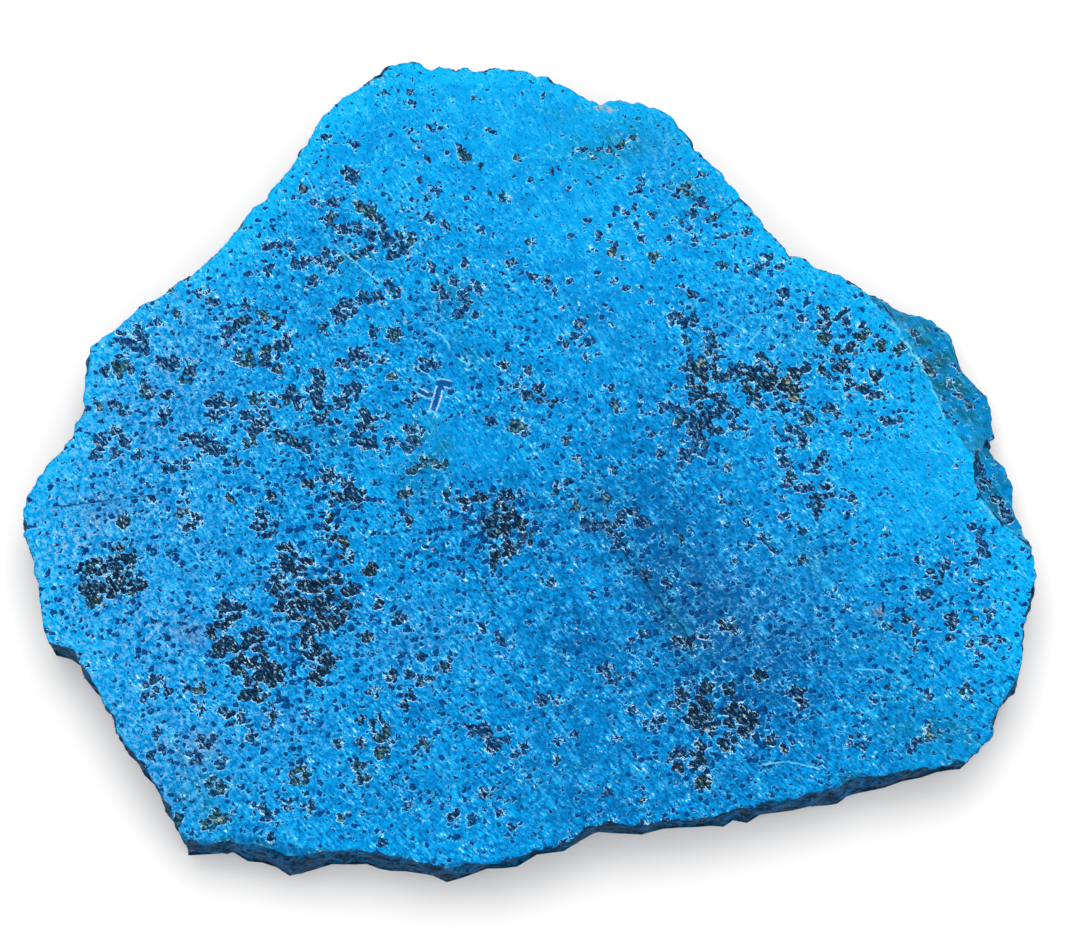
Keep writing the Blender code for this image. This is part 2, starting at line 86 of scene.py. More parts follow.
# Dark matrix in the sawn face, in plan: x, y and width of each patch, in millimetres.
BLACK_MATRIX = (
    # left
    (-36.5, 1.4, 0.7), (-35.0, 1.5, 0.8), (-33.0, 1.2, 0.5), (-30.1, 0.3, 0.8), (-28.9, 0.3, 0.6),
    (-24.5, 0.8, 0.4), (-31.6, -2.6, 0.6), (-28.9, -2.6, 0.5), (-28.9, -3.7, 0.6), (-28.0, -4.3, 0.6),
    (-21.5, -2.0, 0.5), (-28.4, -5.1, 0.6), (-22.6, -3.7, 0.5), (-21.9, -5.1, 1.0), (-22.9, -5.0, 0.5),
    (-34.2, -7.3, 1.0), (-33.5, -7.6, 0.8), (-37.0, -8.5, 0.7), (-36.0, -8.4, 0.9), (-34.0, -8.6, 0.9),
    (-33.6, -9.5, 1.0), (-35.5, -9.8, 1.1), (-36.8, -10.3, 0.8), (-36.1, -11.3, 0.8),
    (-34.6, -10.5, 0.9), (-33.3, -10.2, 0.7), (-32.2, -9.8, 0.5), (-21.3, -9.1, 0.4),
    (-25.2, -11.6, 0.9), (-24.2, -12.0, 0.8), (-25.3, -13.0, 0.7), (-26.0, -14.0, 0.7),
    (-22.6, -14.1, 0.6), (-23.4, -14.5, 0.6), (-25.5, -15.0, 0.6), (-24.6, -15.1, 0.7),
    (-22.3, -15.6, 0.5), (-25.8, -15.8, 0.4), (-24.0, -16.8, 1.2), (-22.4, -16.5, 0.6),
    # lower left
    (-31.4, -18.1, 0.6), (-30.8, -18.1, 0.6), (-30.8, -19.1, 0.5), (-31.8, -19.3, 0.4),
    (-29.8, -19.2, 0.4), (-28.4, -18.4, 0.4), (-27.2, -20.4, 0.4), (-25.2, -20.5, 0.4),
    (-21.3, -17.5, 1.4), (-23.0, -18.3, 0.6), (-22.4, -19.5, 0.6), (-23.5, -19.5, 0.5),
    (-24.6, -21.3, 0.6), (-24.0, -21.3, 0.6), (-21.2, -20.7, 0.5), (-26.6, -23.0, 1.0),
    (-23.0, -22.8, 0.6), (-30.6, -22.5, 0.4), (-30.4, -23.7, 0.5), (-27.5, -24.5, 0.9),
    (-25.2, -24.9, 0.5), (-30.9, -24.4, 0.4), (-22.3, -28.6, 0.5), (-21.5, -29.3, 0.8),
    (-21.0, -31.2, 0.5),
    # lower middle
    (-17.0, -16.5, 1.4), (-17.5, -17.8, 0.8), (-12.8, -18.9, 0.5), (-11.2, -17.3, 0.4),
    (-11.6, -18.2, 0.4), (-10.0, -17.5, 0.4), (-9.2, -18.2, 0.4), (-7.9, -18.1, 0.4), (-9.9, -19.2, 0.4),
    (1.0, -19.5, 0.9), (2.3, -19.6, 0.5), (-13.7, -21.2, 0.4), (-12.5, -21.2, 0.4), (-10.4, -20.4, 0.3),
    (-13.9, -23.5, 0.5), (-15.6, -23.3, 0.3), (-3.9, -22.3, 0.7), (-3.3, -22.3, 0.7), (-3.0, -23.5, 1.0),
    (-4.8, -22.0, 0.4), (-2.0, -22.8, 0.5), (-0.4, -23.7, 0.4), (-1.1, -24.3, 0.3), (-14.0, -25.2, 0.7),
    (-13.5, -26.4, 0.7), (-18.0, -28.5, 0.8), (-19.7, -28.5, 0.5), (-3.8, -27.5, 0.6),
    (-2.5, -28.9, 0.3), (-6.2, -29.3, 0.7), (-4.6, -29.4, 0.6), (-11.9, -31.4, 0.5), (-1.3, -30.2, 0.4),
    # middle left
    (-16.8, -0.4, 0.9), (-18.6, -1.3, 0.5), (-15.1, -1.2, 0.6), (-14.5, -2.3, 1.0), (-15.3, -2.3, 0.5),
    (-16.3, -2.5, 0.5), (-17.0, -4.0, 0.4), (-10.3, -4.3, 0.4), (-6.7, -2.3, 0.6), (-5.5, -2.8, 0.4),
    (-4.0, -2.4, 0.5), (-1.8, -2.2, 0.5), (-2.5, -3.5, 0.6), (-2.6, -5.0, 0.8), (-1.7, -4.2, 0.6),
    (-0.8, -4.7, 0.5), (-3.2, -4.5, 0.6), (-1.6, -6.7, 0.5), (-2.6, -7.3, 0.5), (0.0, -6.0, 0.4),
    (-2.5, -8.2, 0.4), (-20.3, -7.1, 1.0), (-20.0, -8.3, 0.8), (-18.3, -8.1, 0.5), (-15.3, -7.4, 0.5),
    (-8.3, -6.8, 0.4), (-20.9, -10.3, 0.6), (-18.8, -9.9, 0.6), (-17.3, -10.4, 1.2), (-16.2, -9.7, 0.7),
    (-19.2, -11.5, 0.9), (-20.5, -11.8, 0.5), (-17.3, -11.5, 0.8), (-19.2, -12.4, 0.7),
    (-15.0, -11.4, 0.6), (-14.9, -10.2, 0.5), (-12.4, -11.5, 0.5), (-16.0, -12.8, 0.8),
    (-17.2, -13.0, 0.7), (-18.4, -14.0, 0.8), (-18.2, -15.3, 0.8), (-10.7, -12.7, 0.7),
    (-4.0, -13.4, 0.4), (-2.7, -14.4, 0.4), (-2.0, -14.8, 0.4), (-9.0, -16.0, 0.5), (-6.7, -16.6, 0.4),
    # middle right
    (3.9, 1.0, 0.3), (7.0, -0.1, 0.4), (3.3, -0.8, 0.4), (9.8, -9.0, 0.4), (11.6, -9.7, 0.4),
    (14.0, -9.9, 0.4), (1.9, -9.5, 0.4), (12.6, 0.2, 0.3), (13.2, 1.2, 0.7), (14.3, 1.6, 0.7),
    (10.9, 1.3, 0.5), (16.0, -2.4, 0.4), (16.7, -3.0, 0.4), (18.2, -4.7, 0.4), (16.3, -4.8, 0.4),
    (19.4, -5.8, 0.5), (20.3, -6.8, 0.5), (18.5, -6.6, 0.4), (21.0, -3.9, 0.4), (21.4, 0.7, 0.8),
    (22.8, -5.3, 0.5), (9.5, -14.0, 0.3), (8.3, -14.6, 0.4), (12.3, -14.6, 0.5), (13.3, -14.5, 0.5),
    (14.4, -14.5, 0.4),
    # lower right
    (6.5, -17.3, 0.5), (7.0, -17.8, 0.5), (8.7, -17.5, 0.3), (8.4, -20.6, 0.5), (10.6, -21.4, 0.8),
    (9.7, -21.8, 0.4), (2.5, -23.0, 0.4), (3.8, -22.3, 0.4), (7.2, -22.9, 0.3), (14.2, -20.3, 1.2),
    (14.5, -21.7, 0.9), (13.5, -21.3, 0.7), (13.9, -23.5, 0.6), (13.9, -24.7, 0.8), (17.2, -20.6, 0.9),
    (18.1, -21.3, 0.9), (17.9, -22.2, 0.6), (16.8, -21.3, 0.6), (16.4, -23.2, 0.6), (20.0, -23.2, 0.5),
    (20.8, -23.8, 0.4), (12.1, -24.5, 0.8), (12.3, -25.3, 0.6), (12.1, -20.0, 0.4), (12.6, -19.2, 0.4),
    (14.7, -18.6, 0.5), (16.4, -18.6, 0.4), (19.3, -17.8, 0.6), (22.2, -19.0, 0.7), (22.7, -20.0, 0.5),
    (6.5, -27.4, 0.6), (33.0, -19.4, 0.4), (29.5, -18.5, 0.3), (28.5, -19.5, 0.3), (27.2, -23.1, 0.6),
    (26.5, -23.2, 0.4), (32.1, -23.1, 0.4), (31.5, -23.9, 0.3),
    # right
    (21.5, -1.2, 0.5), (22.3, -1.6, 0.5), (23.3, -1.5, 0.6), (23.9, -0.1, 0.5), (25.0, -1.6, 0.5),
    (23.8, -2.2, 0.8), (25.4, -2.1, 0.5), (26.8, -2.4, 0.6), (24.5, -3.0, 0.5), (27.2, -3.3, 0.4),
    (24.0, -3.8, 0.5), (21.2, -4.0, 0.3), (26.3, -4.0, 0.3), (26.8, -6.1, 0.4), (35.8, 0.5, 0.3),
    (37.0, -5.0, 0.5), (37.5, -5.3, 0.4), (35.3, -5.9, 0.3), (38.0, -7.0, 0.5), (37.0, -7.8, 0.4),
    (34.9, -8.1, 0.3), (34.2, -8.3, 0.5), (33.5, -8.6, 0.4), (37.5, -9.6, 0.4), (33.0, -10.5, 0.5),
    (38.2, -12.0, 0.6), (37.0, -12.3, 0.4), (31.3, -12.8, 0.4), (35.0, -12.7, 0.4), (35.3, -13.2, 0.4),
    (31.9, -13.7, 0.4), (34.7, -14.4, 0.4), (36.7, -14.8, 0.4), (37.8, -14.7, 0.4), (39.3, -14.5, 0.3),
    (29.9, -13.4, 0.4), (25.5, -10.5, 0.4), (26.2, -12.0, 0.4), (37.3, -16.0, 0.3), (32.2, -15.3, 0.3),
    # upper left
    (-36.1, 2.5, 0.7), (-34.9, 3.2, 0.8), (-34.0, 2.4, 0.8), (-29.0, 2.6, 0.7), (-28.0, 2.8, 0.9),
    (-27.3, 2.3, 0.9), (-26.5, 2.0, 0.9), (-25.8, 1.7, 0.6), (-30.8, 4.1, 0.5), (-26.8, 5.5, 0.6),
    (-26.0, 5.7, 1.0), (-25.3, 5.6, 0.6), (-26.5, 4.7, 0.6), (-34.2, 5.1, 0.7), (-35.2, 5.6, 0.6),
    (-30.7, 5.2, 0.6), (-30.6, 6.6, 0.5), (-32.2, 6.8, 0.9), (-32.6, 7.5, 0.5), (-34.3, 9.4, 0.9),
    (-34.6, 8.6, 0.9), (-35.8, 8.7, 0.7), (-33.7, 8.6, 0.6), (-30.0, 9.3, 0.9), (-31.1, 9.4, 0.5),
    (-28.9, 7.9, 0.7), (-28.6, 8.8, 0.6), (-33.9, 11.1, 0.9), (-32.6, 10.6, 0.9), (-32.7, 11.6, 0.7),
    (-34.6, 11.9, 0.6), (-33.0, 12.4, 0.6), (-31.5, 12.8, 0.6), (-27.6, 15.3, 0.8), (-26.6, 14.5, 0.6),
    (-25.2, 12.6, 1.0), (-25.2, 11.8, 0.5), (-25.6, 11.1, 0.6), (-24.2, 9.8, 1.1), (-23.5, 9.6, 0.7),
    (-22.3, 9.5, 1.1), (-22.0, 10.6, 0.9), (-20.7, 10.7, 0.7), (-21.0, 8.6, 0.6), (-21.4, 5.9, 0.7),
    (-22.6, 3.9, 0.9), (-23.0, 3.2, 0.6), (-21.0, 3.0, 0.8), (-22.3, 4.9, 0.5), (-23.7, 4.6, 0.5),
    (-22.2, 19.6, 0.7), (-21.5, 19.8, 0.6), (-23.7, 17.3, 0.5), (-22.0, 17.5, 0.7), (-23.9, 14.4, 0.7),
    (-20.6, 19.7, 0.6), (-17.0, 17.7, 0.6), (-18.3, 16.4, 0.5), (-16.0, 18.5, 0.5), (-11.7, 18.9, 0.6),
    (-10.6, 19.3, 0.8), (-12.0, 16.3, 0.6), (-11.3, 15.5, 0.6), (-14.0, 15.0, 0.7), (-12.9, 15.1, 0.7),
    (-16.1, 13.9, 1.0), (-15.8, 13.3, 0.8), (-14.9, 14.1, 0.6), (-15.4, 14.6, 0.5), (-17.4, 12.3, 0.5),
    (-20.5, 11.4, 0.7), (-13.3, 12.0, 0.8), (-11.4, 11.8, 0.9), (-14.6, 9.9, 1.1), (-15.6, 9.2, 0.8),
    (-13.7, 9.3, 0.6), (-12.5, 9.6, 0.5), (-17.8, 8.2, 0.8), (-20.0, 6.8, 0.8), (-19.4, 5.8, 0.5),
    (-18.1, 6.6, 1.0), (-17.9, 7.3, 0.6), (-17.3, 5.3, 1.1), (-17.7, 4.4, 0.5), (-16.2, 4.2, 0.5),
    (-15.2, 6.7, 1.2), (-16.2, 6.2, 0.5), (-14.5, 7.1, 0.7), (-15.6, 5.7, 0.5), (-14.0, 4.8, 0.5),
    (-13.3, 4.4, 0.6), (-13.9, 3.8, 0.9), (-14.4, 3.3, 0.7), (-14.2, 2.7, 0.5), (-13.4, 2.2, 0.9),
    (-12.3, 4.4, 0.5), (-11.6, 2.4, 0.7), (-10.1, 3.6, 0.7), (-9.7, 2.7, 1.3), (-10.2, 2.0, 0.9),
    (-9.3, 3.3, 0.6), (-9.0, 9.1, 0.9), (-10.0, 6.3, 0.7), (-6.4, 16.4, 0.5), (-5.0, 16.0, 0.6),
    (-4.4, 16.0, 0.5), (-7.7, 15.8, 0.5), (-7.3, 15.3, 0.6), (-5.8, 15.2, 0.6), (-5.9, 13.8, 0.8),
    (-4.6, 13.3, 0.5), (-5.4, 14.7, 0.5), (-8.2, 17.6, 0.6), (-5.6, 18.0, 0.5), (-1.6, 18.2, 0.6),
    (-3.2, 4.3, 0.8), (-1.3, 3.7, 0.8), (-0.6, 3.5, 0.7), (-0.2, 6.7, 0.6), (1.0, 7.0, 0.6),
    (0.6, 6.1, 0.6),
    # top
    (-12.5, 33.4, 0.6), (-10.4, 33.3, 0.6), (-10.1, 32.3, 0.6), (-17.5, 29.5, 0.7), (-14.8, 28.8, 0.4),
    (-8.6, 30.2, 0.6), (-8.0, 30.3, 0.6), (-7.4, 30.7, 0.5), (-9.6, 28.8, 0.7), (-10.2, 29.8, 0.4),
    (-3.8, 30.0, 0.5), (-3.0, 29.8, 0.4), (-5.8, 27.9, 1.0), (-5.1, 27.7, 0.8), (-6.0, 28.7, 0.5),
    (-8.7, 27.3, 0.5), (-7.2, 27.8, 0.4), (-4.2, 26.9, 0.4), (-15.5, 26.2, 0.9), (-15.0, 25.7, 1.0),
    (-19.3, 25.0, 0.8), (-16.7, 23.6, 0.7), (-18.3, 23.4, 0.5), (-14.5, 23.2, 0.6), (-13.8, 22.9, 0.7),
    (-13.3, 22.4, 0.8), (-12.6, 21.6, 0.6), (-16.9, 22.1, 0.7), (-16.0, 21.4, 0.8), (-14.5, 21.4, 0.6),
    (-8.8, 24.2, 0.6), (-7.8, 24.6, 0.5), (-8.6, 22.1, 0.6), (-7.2, 21.4, 0.6), (-10.7, 23.0, 0.4),
    (-3.4, 24.5, 0.4), (-5.5, 24.0, 0.4), (-12.2, 20.2, 1.0), (-11.6, 20.3, 0.8), (-11.0, 20.3, 0.7),
    (-10.2, 20.3, 0.8), (-13.6, 20.5, 0.5), (-13.8, 19.4, 0.5), (-4.1, 21.3, 0.5), (0.0, 34.4, 0.4),
    (0.4, 25.6, 0.5), (1.8, 26.6, 0.6), (-9.6, 25.5, 0.4), (-4.9, 33.2, 0.4), (1.2, 33.2, 0.4),
    (3.9, 28.0, 0.6), (4.8, 28.3, 0.5), (5.2, 27.6, 0.6), (2.2, 26.6, 0.6), (3.2, 24.6, 0.4),
    (5.2, 25.2, 0.4), (5.9, 25.8, 0.3), (7.5, 26.0, 0.4), (9.5, 25.5, 0.6), (9.5, 24.5, 0.5),
    (8.6, 24.3, 0.3), (11.7, 25.2, 0.5), (13.4, 24.7, 0.9), (12.6, 24.2, 0.6), (14.5, 23.8, 0.7),
    (14.6, 26.3, 0.6), (7.4, 22.8, 0.8), (8.8, 23.0, 0.4), (8.6, 22.4, 0.5), (10.4, 22.4, 0.6),
    (8.9, 21.5, 0.6), (4.9, 22.0, 0.6), (6.9, 21.4, 0.4), (9.6, 20.3, 0.6), (5.9, 20.6, 0.8),
    (6.5, 20.3, 0.4), (3.5, 20.4, 0.5), (13.9, 22.6, 0.7), (13.2, 22.6, 0.4), (12.8, 22.0, 0.6),
    (13.6, 21.3, 0.4), (12.1, 20.4, 0.5), (14.2, 20.3, 0.5), (15.6, 22.1, 0.7), (15.0, 23.3, 0.4),
    (16.5, 20.6, 0.6), (18.3, 20.8, 0.4), (7.1, 19.6, 0.6), (7.9, 18.4, 0.6), (10.5, 18.8, 0.7),
    (5.5, 19.3, 0.5), (0.4, 16.8, 0.5), (1.5, 16.5, 0.7), (2.1, 15.6, 0.5), (3.4, 16.6, 0.4),
    (5.8, 17.1, 0.5), (5.0, 15.8, 0.5), (7.2, 16.4, 0.6), (8.3, 15.9, 0.6),
    # upper right
    (6.4, 14.5, 0.5), (6.9, 14.0, 0.4), (6.2, 13.3, 0.5), (5.1, 13.4, 0.4), (4.3, 14.4, 0.3),
    (2.8, 14.2, 0.4), (4.2, 12.7, 1.1), (3.9, 11.6, 0.8), (2.9, 11.3, 0.6), (5.4, 11.3, 0.6),
    (4.8, 11.4, 0.3), (4.2, 10.7, 0.4), (5.0, 10.8, 0.3), (5.7, 10.4, 0.4), (4.8, 9.7, 0.4),
    (3.1, 10.7, 0.4), (7.1, 12.5, 0.6), (10.4, 14.8, 0.4), (9.5, 16.0, 0.4), (12.8, 16.4, 0.4),
    (13.6, 15.4, 0.6), (11.9, 13.2, 0.9), (12.4, 13.6, 0.9), (13.3, 13.1, 0.8), (14.0, 13.4, 0.6),
    (13.6, 12.6, 0.5), (15.4, 11.3, 0.8), (15.5, 10.6, 0.8), (15.3, 12.1, 0.4), (15.1, 9.7, 0.8),
    (13.8, 9.6, 0.5), (14.4, 8.8, 0.9), (15.2, 8.8, 0.8), (14.8, 8.2, 0.8), (13.9, 8.0, 0.8),
    (13.8, 7.3, 0.8), (14.4, 6.9, 0.9), (13.9, 6.4, 0.7), (14.6, 5.9, 0.6), (12.9, 9.1, 0.4),
    (16.1, 5.9, 0.6), (16.8, 8.2, 0.6), (17.3, 8.6, 0.5), (15.8, 8.1, 0.4), (18.5, 8.5, 0.7),
    (19.2, 8.4, 0.8), (18.7, 7.3, 1.1), (18.3, 6.9, 0.7), (19.2, 7.7, 0.8), (19.8, 8.0, 0.9),
    (20.3, 8.7, 0.6), (20.3, 7.7, 0.7), (19.6, 9.7, 0.5), (19.4, 10.2, 0.4), (20.7, 7.2, 0.6),
    (21.3, 7.3, 0.7), (21.9, 7.8, 1.0), (22.3, 6.6, 0.8), (22.2, 8.4, 0.6), (18.9, 5.9, 0.7),
    (19.2, 5.3, 0.5), (21.4, 5.4, 0.6), (17.2, 5.1, 0.5), (11.3, 5.5, 0.8), (12.0, 5.4, 0.6),
    (12.6, 5.1, 0.7), (13.5, 4.6, 0.8), (14.2, 4.4, 0.9), (14.8, 4.0, 0.8), (12.6, 4.2, 0.7),
    (13.7, 3.3, 0.8), (14.2, 2.6, 0.9), (14.5, 1.9, 0.8), (13.0, 1.5, 0.7), (11.0, 1.6, 0.5),
    (15.5, 3.5, 0.5), (16.4, 3.4, 0.3), (10.4, 3.2, 0.4), (17.0, 3.9, 0.6), (18.2, 3.4, 0.4),
    (9.3, 5.7, 0.4), (11.9, 7.3, 0.4), (7.0, 7.2, 0.5), (21.3, 14.6, 0.6), (22.0, 15.6, 0.4),
    (21.4, 15.6, 0.4), (19.0, 17.5, 0.5), (19.7, 18.3, 0.6), (20.3, 18.4, 0.5), (21.2, 17.9, 0.5),
    (23.0, 13.2, 0.5), (23.5, 4.5, 1.0), (22.0, 3.6, 0.6), (23.0, 2.5, 0.8), (21.8, 2.7, 0.5),
    (22.8, 3.5, 0.5), (20.5, 3.3, 0.4), (25.0, 13.5, 0.5), (25.0, 12.8, 0.7), (26.4, 13.1, 0.6),
    (26.5, 13.7, 0.4), (24.9, 14.3, 0.4), (24.8, 11.5, 0.8), (26.3, 10.6, 0.7), (27.2, 10.5, 0.5),
    (25.8, 9.1, 0.7), (24.9, 8.7, 0.4), (23.3, 8.6, 0.5), (26.7, 8.9, 0.4), (29.2, 8.2, 0.7),
    (28.0, 7.3, 0.4), (26.9, 7.4, 0.6), (28.5, 6.4, 0.6), (29.6, 6.7, 0.5), (25.3, 5.2, 0.6),
    (25.9, 5.0, 0.4), (30.2, 4.3, 0.7), (31.3, 4.3, 0.6), (29.7, 4.2, 0.4), (31.5, 3.1, 0.5),
    (28.4, 3.3, 0.4), (27.0, 3.2, 0.4), (35.3, 5.1, 0.5), (36.0, 4.5, 0.3), (36.7, 3.7, 0.5),
    (35.1, 6.5, 0.4), (24.7, 1.4, 0.5), (20.9, 1.5, 0.5), (24.3, 0.6, 0.4), (34.0, 8.8, 0.5),
    (33.5, 9.5, 0.5),
    # broken right edge and rim
    (37.9, 1.4, 0.6), (38.2, 0.6, 0.9), (38.6, -0.4, 1.0), (38.0, -1.0, 0.7), (39.4, -2.0, 1.0),
    (40.0, -2.9, 1.1), (40.5, -3.7, 0.8), (-37.8, -16.4, 0.4), (-37.1, -17.1, 0.4), (2.8, -32.0, 0.4),
    (6.6, -30.5, 0.4), (9.4, -30.4, 0.4), (11.2, -30.3, 0.4), (15.8, -30.0, 0.4), (18.0, -29.4, 0.4),
    (26.2, -27.8, 0.4), (27.5, 16.4, 0.4), (28.8, 15.8, 0.4), (-30.5, 15.9, 0.5), (-29.4, 16.8, 0.5),
    (-14.0, 34.5, 0.5), (-13.2, 35.1, 0.5), (36.2, 9.5, 0.5),
)

# Veins of dark matrix: a width, then the points that the vein runs through.
MATRIX_VEINS = (
    (0.45, ((4.2, -4.5), (5.0, -4.8), (6.2, -4.8), (7.0, -5.2), (7.5, -6.0), (7.6, -6.7))),
    (0.35, ((7.5, -4.5), (8.0, -3.7), (8.7, -3.6), (9.3, -4.4), (9.9, -4.7))),
    (0.35, ((-31.4, 9.4), (-30.0, 9.3))),
    (0.4, ((-24.6, 12.8), (-23.8, 13.1))),
    (0.3, ((-20.0, 18.0), (-18.0, 18.5), (-17.2, 19.2))),
    (0.3, ((-15.0, 18.8), (-13.7, 19.2))),
    (0.4, ((-20.5, 2.9), (-18.6, 1.9))),
    (0.5, ((-9.0, 9.2), (-8.0, 9.2))),
    (0.5, ((16.0, 6.4), (16.5, 5.3))),
    (0.35, ((16.5, 8.2), (17.8, 9.0))),
    (0.3, ((-15.6, 9.2), (-16.2, 8.9))),
    (0.4, ((6.0, -17.0), (7.0, -17.9))),
    (0.3, ((15.0, 4.5), (16.0, 4.9))),
    (0.4, ((16.2, -13.1), (16.9, -13.7))),
    (0.3, ((27.0, -22.8), (27.5, -23.5))),
    (0.4, ((36.9, -4.9), (38.2, -7.2))),
    (0.35, ((-12.6, -21.9), (-12.0, -24.0))),
)

# Matrix that is olive or brown where it isn't black: x, y and width of each patch.
OLIVE_MATRIX = (
    (-24.9, -2.4, 0.6), (-33.9, -4.4, 0.8), (-36.1, -11.3, 0.8), (-28.9, -3.7, 0.7), (-27.3, -18.6, 0.9),
    (-26.0, -26.5, 0.9), (-25.4, -27.1, 0.8), (-25.4, -29.5, 1.4), (-28.8, -29.6, 0.8),
    (-26.5, -30.0, 0.7), (-7.0, -16.8, 0.6), (-12.0, -22.4, 1.0), (-12.0, -23.3, 1.0),
    (-12.1, -24.1, 0.8), (-8.8, -23.5, 0.7), (-14.0, -25.2, 0.8), (-13.5, -26.4, 0.7),
    (-18.9, -26.0, 1.4), (-15.4, -29.4, 0.6), (-9.5, -28.3, 0.5), (-9.7, -0.1, 0.8), (-8.8, 0.7, 0.7),
    (-7.8, 0.6, 0.7), (-7.0, 0.5, 0.6), (-10.3, -2.0, 0.7), (-16.5, -5.2, 0.6), (-15.5, -6.3, 0.5),
    (-13.2, -8.6, 0.7), (-13.3, -14.4, 0.4), (2.2, -1.6, 0.6), (6.4, -2.3, 0.6), (4.0, -3.0, 0.6),
    (12.5, -5.9, 0.4), (16.5, 0.3, 0.4), (17.0, -7.7, 0.4), (21.8, -0.5, 0.6), (22.8, -7.7, 0.6),
    (16.4, -13.3, 0.8), (2.4, -24.6, 0.4), (9.4, -28.2, 0.4), (14.3, -26.5, 1.0), (36.1, -18.8, 0.8),
    (29.5, -5.4, 0.6), (32.2, -7.5, 0.4), (34.1, -9.4, 0.5), (37.0, -12.3, 0.4), (-36.3, 5.5, 0.5),
    (-32.2, 6.8, 0.9), (-34.5, 9.0, 1.3), (-28.9, 8.0, 0.9), (-30.0, 13.9, 0.6), (-24.4, 12.9, 0.7),
    (-22.5, 13.5, 0.8), (-21.4, 12.8, 0.7), (-23.9, 9.8, 1.2), (-22.0, 10.6, 0.9), (-21.0, 8.6, 0.6),
    (-23.0, 6.2, 0.8), (-23.5, 2.5, 0.7), (-16.0, 18.5, 0.6), (-11.4, 11.8, 0.9), (-11.6, 8.3, 0.6),
    (-20.7, 6.0, 0.7), (-9.4, 3.0, 0.8), (-1.0, 3.7, 1.2), (-1.1, 7.6, 0.5), (-0.1, 8.8, 0.5),
    (-2.0, 9.2, 0.5), (7.0, 19.2, 0.8), (10.6, 18.7, 0.9), (7.7, 16.1, 0.7), (13.2, 11.3, 0.5),
    (14.3, 9.4, 0.9), (14.2, 7.6, 0.9), (18.7, 7.2, 1.1), (22.3, 6.4, 1.1), (21.8, 7.7, 0.8),
    (12.6, 4.2, 0.8), (7.3, 5.5, 0.9), (3.2, 2.6, 0.5), (2.0, 5.9, 0.5), (16.4, 18.2, 0.6),
    (23.5, 4.5, 1.0), (28.1, 12.0, 1.0), (24.8, 11.5, 1.0), (29.6, 10.9, 0.7), (31.2, 10.6, 0.7),
    (32.6, 12.3, 1.0), (33.6, 9.3, 0.9), (34.0, 8.7, 0.8), (35.7, 8.1, 0.7), (36.5, 7.0, 0.8),
    (37.5, 6.3, 0.8), (-5.6, 27.8, 1.2), (-1.0, 27.5, 0.8), (-19.3, 25.0, 0.9), (-14.5, 23.2, 0.7),
    (-13.6, 22.7, 0.9), (-16.9, 22.1, 0.8), (-2.1, 24.0, 1.0), (-10.2, 20.3, 0.9), (-0.2, 19.9, 0.6),
    (-4.9, 33.2, 0.5), (6.2, 28.5, 0.6), (7.0, 28.2, 0.8), (7.8, 28.4, 1.0), (8.0, 29.0, 0.7),
    (9.0, 29.4, 0.7), (13.4, 24.7, 1.0), (15.6, 22.1, 0.8), (33.0, -22.5, 1.0),
)

# Cream, pale grey and ochre spots in the sawn face, written like the matrix.
CREAM_SPOTS = (
    (-33.5, -15.3, 0.4), (-14.6, -29.1, 0.3), (14.7, -22.0, 0.5), (21.8, 7.8, 0.5), (14.3, 9.4, 0.5),
    (14.2, 7.7, 0.4), (4.2, 12.7, 0.4), (22.3, 6.4, 0.6), (26.8, 6.6, 0.4), (27.3, 6.5, 0.4),
    (29.1, -12.2, 0.4), (-10.6, 13.0, 0.4), (-1.0, 23.3, 0.4), (-19.3, 25.0, 0.35), (9.4, -28.2, 0.3),
    (7.0, 19.0, 0.35), (-36.3, 5.5, 0.35), (5.9, 32.2, 0.8), (6.8, 31.9, 0.8), (7.5, 31.6, 0.5),
    (20.8, -23.8, 0.35), (-25.5, -29.4, 0.5), (-12.0, -23.3, 0.4), (3.9, 32.1, 0.35),
)

# Bright cyan spots of the stone, and white glints painted where the wet face catches the light, written
# the same way.
CYAN_SPOTS_AND_GLINTS = (
    (-4.1, -29.3, 0.35), (4.0, -4.3, 0.4), (-27.2, -16.1, 0.5), (7.0, -29.6, 0.3), (4.8, -21.5, 0.45),
    (8.4, -19.1, 0.45), (36.6, -17.8, 0.35), (28.5, -23.8, 0.3), (19.4, -1.1, 0.3), (21.0, -9.2, 0.3),
    (-8.0, 5.0, 0.35), (-5.6, 9.7, 0.35), (-15.1, -7.2, 0.3), (11.5, 26.6, 0.3), (-14.2, 31.4, 0.3),
    (18.0, 12.3, 0.3), (12.5, -9.5, 0.3), (14.0, -11.8, 0.3), (16.2, -10.1, 0.3), (18.4, -13.9, 0.3),
    (20.6, -11.6, 0.3), (15.1, -15.4, 0.3), (22.7, -14.2, 0.3), (19.2, -16.4, 0.3),
)
